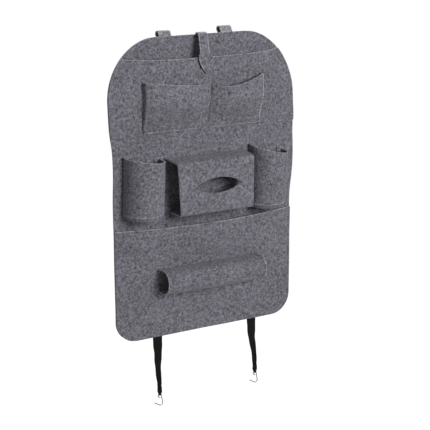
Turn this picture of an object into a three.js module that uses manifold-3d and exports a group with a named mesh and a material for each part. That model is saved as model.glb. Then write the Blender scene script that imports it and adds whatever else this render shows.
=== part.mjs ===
// Car seat back organizer: a felt panel that hangs from the headrest, with sewn felt pockets on its
// front. Millimetres, +Z up. X runs across the panel, the pockets face -Y, the seat is behind at +Y.
// Every felt piece is a sheet of even thickness that keeps the form it takes when it is in use.
import * as THREE from 'three';
import { mergeVertices } from 'three/addons/utils/BufferGeometryUtils.js';
import Module from 'manifold-3d';

const { lerp, smoothstep, clamp, degToRad } = THREE.MathUtils;

// Materials
const felt = () => new THREE.MeshStandardMaterial({ color: 0x6b6a70, roughness: 0.95, metalness: 0 });
const tape = () => new THREE.MeshStandardMaterial({ color: 0x151517, roughness: 0.9, metalness: 0 });
const elastic = () => new THREE.MeshStandardMaterial({ color: 0x17171a, roughness: 0.8, metalness: 0 });
const zinc = () => new THREE.MeshStandardMaterial({ color: 0xb9babb, roughness: 0.3, metalness: 1 });

// Stock and clearances
const FELT = 3;
const TAPE = 1.2;
const ELASTIC = 1.2;
const GAP = 0.3;
const LAID_GAP = 0.5;
const SEAM = 7;
const FOLD_RADIUS = 2.5;
const FLANGE = 9;

// How finely the curves are cut: steps round one fold, one lower corner and one shoulder, and
// columns across the full-width sheets
const FOLD_STEPS = 3;
const CORNER_STEPS = 6;
const SHOULDER_STEPS = 9;
const PANEL_COLUMNS = 26;
const MAGAZINE_COLUMNS = 22;
const BOOK_COLUMNS = 26;
const BOOK_ROWS = 10;

// Panel outline
const LOWER_HALF = 210;
const WAIST = { from: 260, to: 330, step: 2 };
const CHEST = { from: 395, to: 450, step: 3.5 };
const CORNER_RADIUS = 45;
const SHOULDER_X = 105;
const SHOULDER_Z = 497;
const SHOULDER_RISE = 125.5;
const SHOULDER_POWER = 1.9;
const PANEL_TOP = SHOULDER_Z + SHOULDER_RISE;
const CHEST_HALF = LOWER_HALF + WAIST.step + CHEST.step;

// How the hanging panel leaves its plane
const BELLY = { z: 365, reach: 115, depth: 8 };
const LEAN = { from: 430, to: 600, depth: 11 };
const HOLLOW = { from: 465, to: 600, depth: 3 };

// Magazine pocket
const MAGAZINE_MOUTH = 239;
const MAGAZINE_GAPE = 29;
const MAGAZINE_TIGHT = 22;
const MAGAZINE_SWELL = 1.2;
const MAGAZINE_ROUND = 2;

// Book pocket
const BOOK_BOTTOM = 430;
const BOOK_MOUTH = 584;
const BOOK_GAPE = 22;
const BOOK_SAG = 5;
const BOOK_SAG_POWER = 4;
const BOOK_ROUND = 3.5;
const BOOK_FILL = { from: BOOK_BOTTOM + SEAM, to: 505, share: 0.7 };
const BOOK_OPEN = { from: 480, to: BOOK_MOUTH, share: 0.3 };

// Phone pocket, on the book pocket: a wide compartment and a narrower one beside a stitched divider
const PHONE_BOTTOM = 434;
const PHONE_FULL = 500;
const PHONE_ENDS = 538;
const PHONE_SIDE = 12;
const PHONE_TUCK = 0.12;
const DIVIDER_X = 8;
const DIVIDER_TOP = 529;
const DIVIDER_REACH = 0.3;
const DIVIDER_ROUND = 1.8;
const SCOOP_SKEW = 0.6;
const COMPARTMENTS = [
  { sign: -1, end: -142, scoop: 4.5, bulge: 5, columns: 14 },
  { sign: 1, end: 126, scoop: 12, bulge: 11, columns: 12 },
];

// Tissue sleeve
const SLEEVE_FOOT = { centre: 2.5, half: 85.5 };
const SLEEVE_HEAD = { centre: -5, half: 89 };
const SLEEVE_FLARE = 3;
const SLEEVE_BOTTOM = 264;
const SLEEVE_TOP = 377;
const SLEEVE_RISE = 4;
const SLEEVE_DEPTH = 50;
const SLIT_LENGTH = 112;
const SLIT_HEIGHT = 34;
const SLIT_X = 2;
const SLIT_Z = 323;

// Cup pockets
const CUP_SIDES = [
  { name: 'left', x: -151, bottom: 264, top: 387, tilt: 5.5, sag: 1 },
  { name: 'right', x: 141, bottom: 253, top: 382, tilt: 8.5, sag: 5 },
];
const CUP_HALF = 41;
const CUP_DEPTH = 57;
const CUP_CURL = 8;
const CUP_BASE_INSET = 4;
const CUP_TAB_INSET = 2;

// Roll band, on the magazine pocket
const BAND_HALF_LENGTH = 117;
const BAND_Z = 126;
const BAND_HALF = 26;
const BAND_DEPTH = 48;

// Closure strap
const STRAP_WIDTH = 21;
const STRAP_FOOT_X = -0.5;
const STRAP_NECK_X = -7.5;
const STRAP_REAR_X = 1;
const STRAP_ARCH = 0.8;
const STRAP_CREST_Y = -2;
const STRAP_CREST_TURN = 7;
const STRAP_REAR_TURN = 1.5;
const STRAP_REAR_TOP = 617;
const STRAP_REAR_END = 592;
const LEAF_WIDTH = 32;
const LEAF_LENGTH = 37;
const LEAF_TIP = 547;
const LEAF_ROUND = { from: 0.07, to: 0.66, power: 0.8 };
const LEAF_NECK = 3;
const PATCH_WIDTH = 26;
const PATCH_FOOT = 560;
const PATCH_HEAD = 578;

// The line inside the two headrest loops that the organizer hangs from, which is the origin
const HANG_Y = 42.5;
const HANG_Z = 629;

// Headrest loops
const LOOP_SIDES = [
  { name: 'left', x: -71.3, top: 631 },
  { name: 'right', x: 71.3, top: 633 },
];
const LOOP_WIDTH = 27.5;
const LOOP_ROOT = 578;
const LOOP_SHUT = 604;
const LOOP_INSIDE = 10;
const LOOP_LEAN = 17.5;
const LOOP_TAPE_WIDTH = 24;
const LOOP_TAPE_INSET = 5;

// Elastic straps and hooks
const ELASTIC_X = 115;
const ELASTIC_WIDTH = 20;
const ELASTIC_ROOT = 30;
const ELASTIC_TWIST = 14;
const ELASTIC_TAIL = 14;
const ELASTIC_GATHER = { from: 20, to: 130, width: 9 };
const EYE_REACH = 10;
const EYE_STRAND = 4.2;
const EYE_TURN = 2.2;
const WIRE_RADIUS = 1;
const EYE_RADIUS = 3.8;
const SHANK = 17;
const HOOK_BEND = 5;
const HOOK_TURN = 132;
const HOOK_POINT = 15;
const HOOK_TILT = 10;
const STRAP_SIDES = [
  { name: 'left', sign: -1, drift: -5, eyeTop: -132.5 },
  { name: 'right', sign: 1, drift: 12, eyeTop: -129 },
];

const FRONT = new THREE.Vector3(0, -1, 0);
const organizer = new THREE.Group();
organizer.name = 'seat_back_organizer';
organizer.position.set(0, -HANG_Y, -HANG_Z);

function addPiece(name, geometry, material) {
  geometry.computeVertexNormals();
  const mesh = new THREE.Mesh(geometry, material);
  mesh.name = name;
  organizer.add(mesh);
  return mesh;
}

// A closed sheet. place(i, j) gives one face. The sheet grows by its thickness to the side that
// the direction of i crossed with the direction of j points to, or straight along grow.
function sheet(columns, rows, place, thickness = FELT, grow = null) {
  const face = [];
  for (let j = 0; j <= rows; j += 1) {
    for (let i = 0; i <= columns; i += 1) face.push(place(i, j));
  }
  const at = (i, j) => face[clamp(j, 0, rows) * (columns + 1) + clamp(i, 0, columns)];
  const other = face.map((point, index) => {
    const i = index % (columns + 1);
    const j = Math.floor(index / (columns + 1));
    const across = at(i + 1, j).clone().sub(at(i - 1, j));
    const along = at(i, j + 1).clone().sub(at(i, j - 1));
    const direction = grow ?? across.cross(along).normalize();
    return point.clone().addScaledVector(direction, thickness);
  });
  const far = face.length;
  const index = [];
  const quad = (a, b, c, d) => index.push(a, b, c, a, c, d);
  const id = (i, j) => j * (columns + 1) + i;
  for (let j = 0; j < rows; j += 1) {
    for (let i = 0; i < columns; i += 1) {
      const [a, b, c, d] = [id(i, j), id(i + 1, j), id(i + 1, j + 1), id(i, j + 1)];
      quad(a, d, c, b);
      quad(a + far, b + far, c + far, d + far);
    }
  }
  for (let i = 0; i < columns; i += 1) {
    const [a, b] = [id(i, 0), id(i + 1, 0)];
    const [c, d] = [id(i + 1, rows), id(i, rows)];
    quad(a, b, b + far, a + far);
    quad(c, d, d + far, c + far);
  }
  for (let j = 0; j < rows; j += 1) {
    const [a, d] = [id(0, j), id(0, j + 1)];
    const [b, c] = [id(columns, j), id(columns, j + 1)];
    quad(d, a, a + far, d + far);
    quad(b, c, c + far, b + far);
  }
  const geometry = new THREE.BufferGeometry();
  geometry.setFromPoints([...face, ...other]);
  geometry.setIndex(index);
  return geometry;
}

// Half the width of the panel at a height: round lower corners, a waist beside the cup pockets,
// a wider chest, and shoulders on a superellipse
function halfWidth(z) {
  if (z < CORNER_RADIUS) {
    return LOWER_HALF - CORNER_RADIUS + Math.sqrt(CORNER_RADIUS ** 2 - (CORNER_RADIUS - z) ** 2);
  }
  if (z <= SHOULDER_Z) {
    const waist = WAIST.step * smoothstep(z, WAIST.from, WAIST.to);
    return LOWER_HALF + waist + CHEST.step * smoothstep(z, CHEST.from, CHEST.to);
  }
  const rise = Math.min(1, (z - SHOULDER_Z) / SHOULDER_RISE);
  const reach = (1 - rise ** SHOULDER_POWER) ** (1 / SHOULDER_POWER);
  return SHOULDER_X + (CHEST_HALF - SHOULDER_X) * reach;
}

// Front face of the panel: flat at the bottom, drawn forward by the loaded pockets at the waist,
// leaning back to the headrest at the top, and hollow behind the book pocket
function panelFront(x, z) {
  const fromBelly = clamp((z - BELLY.z) / BELLY.reach, -1, 1);
  const belly = BELLY.depth * Math.cos(fromBelly * Math.PI / 2) ** 2;
  const lean = LEAN.depth * smoothstep(z, LEAN.from, LEAN.to);
  const inward = 1 - Math.min(1, Math.abs(x) / CHEST_HALF) ** 2;
  const hollow = HOLLOW.depth * smoothstep(z, HOLLOW.from, HOLLOW.to) * inward;
  return lean + hollow - belly;
}

const panelBack = (x, z) => panelFront(x, z) + FELT;

// How far a full-width pocket stands off between its side seams. The higher the number roundness
// is, the flatter the pocket is in the middle.
function gape(x, z, depth, roundness) {
  const open = halfWidth(z) - SEAM;
  return depth * (1 - Math.min(1, Math.abs(x) / open) ** roundness);
}

function magazineBack(x, z) {
  const loose = clamp((z - MAGAZINE_TIGHT) / (MAGAZINE_MOUTH - MAGAZINE_TIGHT), 0, 1);
  return panelFront(x, z) - GAP - gape(x, z, MAGAZINE_GAPE * loose ** MAGAZINE_SWELL, MAGAZINE_ROUND);
}

function bookBack(x, z) {
  const filled = BOOK_FILL.share * smoothstep(z, BOOK_FILL.from, BOOK_FILL.to);
  const opened = BOOK_OPEN.share * smoothstep(z, BOOK_OPEN.from, BOOK_OPEN.to);
  return panelFront(x, z) - GAP - gape(x, z, BOOK_GAPE * (filled + opened), BOOK_ROUND);
}

const magazineFront = (x, z) => magazineBack(x, z) - FELT;
const bookFront = (x, z) => bookBack(x, z) - FELT;

// A full-width sheet between two heights, as wide as the panel at each of them
function fullWidthSheet(heights, columns, depthAt, drop = () => 0) {
  const top = heights.length - 1;
  return sheet(columns, top, (i, j) => {
    const side = lerp(-1, 1, i / columns);
    const x = side * halfWidth(heights[j]);
    const z = heights[j] - drop(side, heights[j]);
    return new THREE.Vector3(x, depthAt(x, z), z);
  }, FELT, FRONT);
}

const steps = (from, to, count) => Array.from({ length: count + 1 }, (_, k) => lerp(from, to, k / count));
const cornerHeights = steps(0, 1, CORNER_STEPS).map((k) => CORNER_RADIUS * (1 - Math.cos(k * Math.PI / 2)));
const shoulderHeights = steps(0, 1, SHOULDER_STEPS).map((k) => (
  SHOULDER_Z + SHOULDER_RISE * Math.sin(k * Math.PI / 2)
));

function makeBackPanel() {
  const flatTop = BELLY.z - BELLY.reach;
  const flat = steps(CORNER_RADIUS, flatTop, 3).slice(1, -1);
  const bent = steps(flatTop, SHOULDER_Z, 13).slice(0, -1);
  const heights = [...cornerHeights, ...flat, ...bent, ...shoulderHeights];
  addPiece('back_panel', fullWidthSheet(heights, PANEL_COLUMNS, panelBack), felt());
}

function makeMagazinePocket() {
  const heights = [...cornerHeights, ...steps(CORNER_RADIUS, MAGAZINE_MOUTH, 9).slice(1)];
  addPiece('magazine_pocket', fullWidthSheet(heights, MAGAZINE_COLUMNS, magazineBack), felt());
}

function makeBookPocket() {
  const heights = steps(BOOK_BOTTOM, BOOK_MOUTH, BOOK_ROWS);
  const sag = (side, z) => BOOK_SAG * smoothstep(z, BOOK_BOTTOM, BOOK_MOUTH) * (1 - side ** BOOK_SAG_POWER);
  addPiece('book_pocket', fullWidthSheet(heights, BOOK_COLUMNS, bookBack, sag), felt());
}

// Quarter turn from one direction of travel to the next, as points round a corner
function foldPoints(start, corner, end) {
  return new THREE.QuadraticBezierCurve(start, corner, end).getPoints(FOLD_STEPS);
}

// Phone pocket: side walls fold out from the book pocket, and the front dips to a stitched divider.
// Each compartment has a scooped mouth. across is 0 at the divider and 1 at a compartment's end.
function phoneSection(z) {
  const fullness = lerp(PHONE_TUCK, 1, smoothstep(z, PHONE_BOTTOM, PHONE_FULL));
  const depth = PHONE_SIDE * fullness;
  const fold = Math.min(FOLD_RADIUS, depth / 2);
  const halves = COMPARTMENTS.map(({ sign, end, bulge, columns }) => {
    const front = steps(DIVIDER_X, end - sign * fold, columns).map((x, k) => {
      const across = k / columns;
      const swell = fullness * bulge * Math.sin(across * Math.PI);
      const rise = 1 - (1 - Math.min(1, across / DIVIDER_REACH)) ** DIVIDER_ROUND;
      return new THREE.Vector2(x, depth * rise + swell);
    });
    const corner = foldPoints(
      new THREE.Vector2(end - sign * fold, depth),
      new THREE.Vector2(end, depth),
      new THREE.Vector2(end, depth - fold),
    );
    return [...front.slice(0, -1), ...corner, new THREE.Vector2(end, 0)];
  });
  return [...halves[0].reverse(), ...halves[1].slice(1)];
}

function phoneMouth(x) {
  const { end, scoop } = COMPARTMENTS[x < DIVIDER_X ? 0 : 1];
  const across = Math.min(1, (x - DIVIDER_X) / (end - DIVIDER_X));
  return lerp(DIVIDER_TOP, PHONE_ENDS, across) - scoop * Math.sin(Math.PI * across ** SCOOP_SKEW);
}

function makePhonePocket() {
  const rows = 7;
  const columns = phoneSection(PHONE_BOTTOM).length - 1;
  const geometry = sheet(columns, rows, (i, j) => {
    const up = j / rows;
    const section = phoneSection(lerp(PHONE_BOTTOM, PHONE_ENDS, up));
    const { x, y: rise } = section[i];
    const z = lerp(PHONE_BOTTOM, phoneMouth(x), up);
    return new THREE.Vector3(x, bookFront(x, z) - GAP - rise, z);
  });
  addPiece('phone_pocket', geometry, felt());
}

// Section of a strip that is sewn down on two turned-in flanges and stands out in a rounded bow.
// x runs across the bow and y away from what carries it, both to the strip's inner face.
function bowSection(half, depth, turns) {
  const straight = depth - half;
  const fold = (sign) => foldPoints(
    new THREE.Vector2(sign * (half - FOLD_RADIUS), FELT),
    new THREE.Vector2(sign * half, FELT),
    new THREE.Vector2(sign * half, FELT + FOLD_RADIUS),
  );
  const points = [new THREE.Vector2(-half + FLANGE, FELT), ...fold(-1)];
  for (const turn of steps(0, Math.PI, turns)) {
    points.push(new THREE.Vector2(-half * Math.cos(turn), straight + half * Math.sin(turn)));
  }
  points.push(...fold(1).reverse(), new THREE.Vector2(half - FLANGE, FELT));
  return points;
}

// Cup pocket: a bowed wall with its lower hem curled in under it, and a base that lies on the hem.
// The rim falls from left to right and sags at the front.
function makeCupPocket({ name, x: middle, bottom, top, tilt, sag }) {
  const half = CUP_HALF - FELT;
  const depth = CUP_DEPTH - FELT;
  const turns = 14;
  const curlFloor = bottom + FELT;
  const wallFoot = curlFloor + CUP_CURL;
  const curl = steps(0, 1, 4).map((k) => ({
    inset: CUP_CURL * (1 - Math.sin(k * Math.PI / 2)),
    rise: -CUP_CURL * Math.cos(k * Math.PI / 2),
    share: 0,
  }));
  const wall = steps(0, 1, 5).slice(1).map((share) => ({ inset: 0, rise: 0, share }));
  const levels = [...curl, ...wall];
  const sections = levels.map(({ inset }) => bowSection(half - inset, depth - inset, turns));
  const geometry = sheet(sections[0].length - 1, levels.length - 1, (i, j) => {
    const { x: aside, y: out } = sections[j][i];
    const { rise, share } = levels[j];
    const rim = top - tilt * aside / half - sag * out / depth;
    const z = lerp(wallFoot, rim, share) + rise;
    return new THREE.Vector3(middle + aside, panelFront(middle + aside, z) - GAP - out, z);
  });
  addPiece(`cup_pocket_${name}`, geometry, felt());

  // The base drops in and rests on the turned-in hem, with a tab between the two flanges
  const inset = CUP_BASE_INSET;
  const seat = CUP_CURL - Math.sqrt(CUP_CURL ** 2 - (CUP_CURL - inset) ** 2);
  const baseZ = curlFloor + seat + LAID_GAP;
  const radius = half - inset;
  const bowCentre = depth - half;
  const tab = half - CUP_CURL - FLANGE - CUP_TAB_INSET;
  const rear = FELT + 2 * GAP;
  const outline = steps(0, Math.PI, turns).map((turn) => (
    new THREE.Vector2(radius * Math.cos(turn), -bowCentre - radius * Math.sin(turn))
  ));
  outline.push(new THREE.Vector2(-radius, -rear), new THREE.Vector2(-tab, -rear));
  outline.push(new THREE.Vector2(-tab, -GAP), new THREE.Vector2(tab, -GAP));
  outline.push(new THREE.Vector2(tab, -rear), new THREE.Vector2(radius, -rear));
  const base = new THREE.ExtrudeGeometry(new THREE.Shape(outline.reverse()), {
    depth: FELT,
    bevelEnabled: false,
  });
  base.translate(middle, panelFront(middle, baseZ) - GAP, baseZ);
  addPiece(`cup_base_${name}`, weld(base), felt());
}

function weld(geometry) {
  geometry.deleteAttribute('normal');
  geometry.deleteAttribute('uv');
  return mergeVertices(geometry);
}

const wasm = await Module();
wasm.setup();

function toSolid(geometry) {
  const welded = weld(geometry);
  return new wasm.Manifold(new wasm.Mesh({
    numProp: 3,
    vertProperties: new Float32Array(welded.getAttribute('position').array),
    triVerts: new Uint32Array(welded.getIndex().array),
  }));
}

function fromSolid(solid) {
  const mesh = solid.getMesh();
  const geometry = new THREE.BufferGeometry();
  geometry.setAttribute('position', new THREE.BufferAttribute(mesh.vertProperties, 3));
  geometry.setIndex(new THREE.BufferAttribute(mesh.triVerts, 1));
  return geometry;
}

// Tissue sleeve: one strip folded out from the panel, down in front and back under, open at both
// ends, with a lens-shaped slit in its front. It is sewn on a little askew.
function sleeveSection() {
  const bottom = SLEEVE_BOTTOM + FELT;
  const frontTop = SLEEVE_TOP - FELT;
  const backTop = frontTop + SLEEVE_RISE;
  const front = SLEEVE_DEPTH - FELT;
  const corners = [
    new THREE.Vector2(bottom, FELT),
    new THREE.Vector2(bottom, front),
    new THREE.Vector2(frontTop, front),
    new THREE.Vector2(backTop, FELT),
  ];
  const ends = [
    new THREE.Vector2(bottom + FLANGE, FELT),
    new THREE.Vector2(backTop - FLANGE, FELT),
  ];
  const route = [ends[0], ...corners, ends[1]];
  const points = [ends[0]];
  corners.forEach((corner, k) => {
    const before = corner.clone().lerp(route[k], FOLD_RADIUS / corner.distanceTo(route[k]));
    const after = corner.clone().lerp(route[k + 2], FOLD_RADIUS / corner.distanceTo(route[k + 2]));
    points.push(...foldPoints(before, corner, after));
    if (k === 1) {
      for (const part of steps(0, 1, 6).slice(1, -1)) points.push(corner.clone().lerp(route[k + 2], part));
    }
  });
  points.push(ends[1]);
  return points;
}

function makeTissueSleeve() {
  const section = sleeveSection();
  const columns = 8;
  const strip = sheet(columns, section.length - 1, (i, j) => {
    const { x: z, y: rise } = section[j];
    const up = (z - SLEEVE_BOTTOM) / (SLEEVE_TOP - SLEEVE_BOTTOM);
    const centre = lerp(SLEEVE_FOOT.centre, SLEEVE_HEAD.centre, up);
    const half = lerp(SLEEVE_FOOT.half, SLEEVE_HEAD.half, up) + SLEEVE_FLARE * (1 - rise / SLEEVE_DEPTH);
    const x = centre + lerp(-half, half, i / columns);
    return new THREE.Vector3(x, panelFront(x, z) - GAP - rise, z);
  });
  const lensRadius = (SLIT_LENGTH ** 2 / 4 + SLIT_HEIGHT ** 2 / 4) / SLIT_HEIGHT;
  const lensAngle = Math.asin(SLIT_LENGTH / 2 / lensRadius);
  const centre = lensRadius - SLIT_HEIGHT / 2;
  const lens = new THREE.Shape();
  lens.absarc(0, -centre, lensRadius, Math.PI / 2 - lensAngle, Math.PI / 2 + lensAngle, false);
  lens.absarc(0, centre, lensRadius, -Math.PI / 2 - lensAngle, -Math.PI / 2 + lensAngle, false);
  const cutter = new THREE.ExtrudeGeometry(lens, {
    depth: SLEEVE_DEPTH,
    bevelEnabled: false,
    curveSegments: 12,
  });
  cutter.rotateX(Math.PI / 2);
  cutter.translate(SLIT_X, -SLEEVE_DEPTH / 2, SLIT_Z);
  addPiece('tissue_sleeve', fromSolid(toSolid(strip).subtract(toSolid(cutter))), felt());
}

function makeRollBand() {
  const section = bowSection(BAND_HALF - FELT, BAND_DEPTH - FELT, 12);
  const columns = 10;
  const geometry = sheet(columns, section.length - 1, (i, j) => {
    const x = lerp(-BAND_HALF_LENGTH, BAND_HALF_LENGTH, i / columns);
    const z = BAND_Z + section[j].x;
    return new THREE.Vector3(x, magazineFront(x, z) - GAP - section[j].y, z);
  });
  addPiece('roll_band', geometry, felt());
}

// A flat strip that runs along a route in the YZ plane. The route is the strip's inner face, and the
// strip grows to the left of its direction of travel as seen from -X.
function routedStrip(centreAt, route, widthAt, thickness, columns) {
  return sheet(columns, route.length - 1, (i, j) => {
    const half = widthAt(j) / 2;
    return new THREE.Vector3(centreAt(j) + lerp(-half, half, i / columns), route[j].x, route[j].y);
  }, thickness);
}

// Closure strap: a leaf-shaped tongue on the book pocket, then a slope back and up to the panel's
// top edge, over it, and down to where it is sewn behind the panel. It sways as it hangs.
function makeClosure() {
  const standOff = 3 * GAP + 2 * TAPE;
  const layFront = (z, off) => new THREE.Vector2(bookFront(STRAP_NECK_X, z) - off, z);
  const mouth = BOOK_MOUTH - BOOK_SAG;
  const leafTop = LEAF_TIP + LEAF_LENGTH;
  const leaf = steps(LEAF_TIP, leafTop, 7);
  const neck = new THREE.Vector2(layFront(mouth, standOff).x, leafTop + LEAF_NECK);
  const crestZ = PANEL_TOP + GAP + STRAP_ARCH;
  const crest = new THREE.Vector2(STRAP_CREST_Y, crestZ);
  const rearY = panelBack(STRAP_REAR_X, PANEL_TOP) + LAID_GAP;
  const rear = new THREE.Vector2(rearY, crestZ);
  const route = [
    ...leaf.map((z) => new THREE.Vector2(layFront(Math.min(z, mouth), standOff).x, z)),
    neck,
    neck.clone().add(crest).divideScalar(2),
    ...foldPoints(
      crest.clone().lerp(neck, STRAP_CREST_TURN / crest.distanceTo(neck)),
      crest,
      crest.clone().lerp(rear, STRAP_CREST_TURN / crest.distanceTo(rear)),
    ),
    ...foldPoints(
      new THREE.Vector2(rearY - STRAP_REAR_TURN, crestZ),
      rear,
      new THREE.Vector2(rearY, crestZ - STRAP_REAR_TURN),
    ),
    ...steps(STRAP_REAR_TOP, STRAP_REAR_END, 2).map((z) => (
      new THREE.Vector2(panelBack(STRAP_REAR_X, z) + LAID_GAP, z)
    )),
  ];
  const centreAt = (j) => {
    if (j < leaf.length) return lerp(STRAP_FOOT_X, STRAP_NECK_X, j / (leaf.length - 1));
    return lerp(STRAP_NECK_X, STRAP_REAR_X, smoothstep(route[j].x, neck.x, rearY));
  };
  const widthAt = (j) => {
    if (j >= leaf.length) return STRAP_WIDTH;
    const turn = lerp(LEAF_ROUND.from, LEAF_ROUND.to, j / (leaf.length - 1)) * Math.PI;
    return LEAF_WIDTH * Math.sin(turn) ** LEAF_ROUND.power;
  };
  addPiece('closure_strap', routedStrip(centreAt, route, widthAt, FELT, 4), felt());

  const patch = (off) => routedStrip(
    () => (STRAP_FOOT_X + STRAP_NECK_X) / 2,
    steps(PATCH_FOOT, PATCH_HEAD, 3).map((z) => layFront(z, off)),
    () => PATCH_WIDTH,
    TAPE,
    2,
  );
  addPiece('closure_loop_patch', patch(GAP), tape());
  addPiece('closure_hook_patch', patch(2 * GAP + TAPE), tape());
}

// Headrest loop: a felt strip sewn behind the panel, turned back over the headrest post and closed
// on itself with hook and loop tape
function makeHeadrestLoop({ name, x, top }) {
  const onPanel = (z) => panelBack(x, z) + LAID_GAP + FELT;
  const radius = LOOP_INSIDE / 2;
  const bowZ = top - FELT - radius;
  const frontLeg = onPanel(bowZ) + LOOP_LEAN;
  const closedLeg = (z) => onPanel(z) + 3 * GAP + 2 * TAPE;
  const up = steps(LOOP_ROOT, LOOP_SHUT, 4).map((z) => new THREE.Vector2(onPanel(z), z));
  const over = steps(0, Math.PI, 8).map((turn) => new THREE.Vector2(
    frontLeg + radius - radius * Math.cos(turn),
    bowZ + radius * Math.sin(turn),
  ));
  const down = [LOOP_SHUT, LOOP_ROOT].map((z) => new THREE.Vector2(closedLeg(z), z));
  const route = [...up, ...over, ...down];
  const strip = (along, width, thickness) => routedStrip(() => x, along, () => width, thickness, 2);
  addPiece(`headrest_loop_${name}`, strip(route, LOOP_WIDTH, FELT), felt());

  // The hook tape is sewn to the front leg, and the pile tape lines the rear leg up into the bow
  const hookRoute = [LOOP_SHUT, LOOP_ROOT + LOOP_TAPE_INSET].map((z) => (
    new THREE.Vector2(onPanel(z) + GAP, z)
  ));
  addPiece(`loop_hook_tape_${name}`, strip(hookRoute, LOOP_TAPE_WIDTH, TAPE), tape());
  const lining = [...over.slice(6), ...down];
  const away = (point, before, after) => {
    const along = after.clone().sub(before).normalize();
    return point.clone().add(new THREE.Vector2(along.y, -along.x).multiplyScalar(TAPE + GAP));
  };
  const pileRoute = lining.map((point, k) => (
    away(point, lining[Math.max(0, k - 1)], lining[Math.min(lining.length - 1, k + 1)])
  ));
  addPiece(`loop_pile_tape_${name}`, strip(pileRoute, LOOP_TAPE_WIDTH, TAPE), tape());
}

// Elastic strap: sewn flat behind the panel, twisting and gathering as it hangs, with its end turned
// forward through the hook's eye and sewn back on itself
function makeElasticStrap({ name, sign, drift, eyeTop }) {
  const front = panelBack(0, 0) + GAP;
  const tailTop = eyeTop + EYE_TURN + ELASTIC_TAIL;
  const hang = (z) => smoothstep(-z, 0, -tailTop);
  const centre = (z) => sign * (ELASTIC_X + drift * hang(z));
  const widthAt = (z) => {
    const { from, to, width } = ELASTIC_GATHER;
    const gathered = lerp(ELASTIC_WIDTH, width, smoothstep(-z, from, to));
    return lerp(gathered, EYE_STRAND, smoothstep(-z, -eyeTop - EYE_REACH, -eyeTop));
  };
  const levels = [
    ...steps(ELASTIC_ROOT, 0, 2),
    ...steps(0, tailTop, 14).slice(1),
  ].map((z) => ({ z, y: front }));
  const ease = steps(0, 1, 4).slice(1);
  levels.push(...ease.map((k) => ({
    z: lerp(tailTop, eyeTop, k),
    y: front + EYE_TURN * smoothstep(k, 0, 1),
  })));
  levels.push(...steps(0, Math.PI, 6).slice(1).map((turn) => ({
    z: eyeTop - EYE_TURN * Math.sin(turn),
    y: front + EYE_TURN * Math.cos(turn),
  })));
  levels.push(...ease.map((k) => ({
    z: lerp(eyeTop, tailTop, k),
    y: front - lerp(EYE_TURN, GAP, smoothstep(k, 0, 1)),
  })));
  const columns = 4;
  const geometry = sheet(columns, levels.length - 1, (i, j) => {
    const { z, y } = levels[j];
    const reach = lerp(-0.5, 0.5, i / columns) * widthAt(z);
    const twist = degToRad(ELASTIC_TWIST) * Math.sin(Math.PI * clamp(z / tailTop, 0, 1));
    return new THREE.Vector3(centre(z) + reach * Math.cos(twist), y + reach * Math.sin(twist), z);
  }, ELASTIC);
  addPiece(`elastic_strap_${name}`, geometry, elastic());
  return new THREE.Vector3(centre(eyeTop), front, eyeTop);
}

// Hook: one length of wire bent to a closed eye, a straight shank and an open J
function makeHook(name, eyeTop) {
  const route = new THREE.CurvePath();
  const inPlane = (x, z) => new THREE.Vector3(x, 0, z);
  const eyeStart = -Math.acos(1 - (2 * WIRE_RADIUS + GAP) / EYE_RADIUS);
  const arc = (centreX, centreZ, radius, from, to, count) => steps(from, to, count).map((angle) => (
    inPlane(centreX + radius * Math.cos(angle), centreZ + radius * Math.sin(angle))
  ));
  const eye = arc(0, -EYE_RADIUS, EYE_RADIUS, 2 * Math.PI + eyeStart, 0, 18);
  const shankEnd = -EYE_RADIUS - SHANK;
  const bendEnd = -degToRad(HOOK_TURN);
  const bend = arc(EYE_RADIUS - HOOK_BEND, shankEnd, HOOK_BEND, 0, bendEnd, 9);
  const last = bend[bend.length - 1];
  const heading = inPlane(Math.sin(bendEnd), -Math.cos(bendEnd));
  const tip = last.clone().addScaledVector(heading, HOOK_POINT);
  const points = [...eye, inPlane(EYE_RADIUS, shankEnd / 2 - EYE_RADIUS / 2), ...bend, tip];
  points.slice(1).forEach((point, k) => route.add(new THREE.LineCurve3(points[k], point)));
  const sides = 8;
  const section = new THREE.Shape(steps(0, 2 * Math.PI, sides).slice(1).map((angle) => (
    new THREE.Vector2(WIRE_RADIUS * Math.cos(angle), WIRE_RADIUS * Math.sin(angle))
  )));
  const wire = new THREE.ExtrudeGeometry(section, { steps: 48, extrudePath: route });
  wire.translate(0, 0, EYE_RADIUS);
  wire.rotateY(degToRad(-HOOK_TILT));
  wire.translate(eyeTop.x, eyeTop.y, eyeTop.z - EYE_RADIUS);
  addPiece(`hook_${name}`, weld(wire), zinc());
}

makeBackPanel();
makeMagazinePocket();
makeBookPocket();
makePhonePocket();
makeTissueSleeve();
makeRollBand();
CUP_SIDES.forEach(makeCupPocket);
makeClosure();
LOOP_SIDES.forEach(makeHeadrestLoop);
for (const strap of STRAP_SIDES) makeHook(strap.name, makeElasticStrap(strap));

export default organizer;
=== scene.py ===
from math import cos, pi, radians, sin, sqrt, tau

import bpy
import numpy as np
from mathutils import Matrix, Vector


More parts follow.
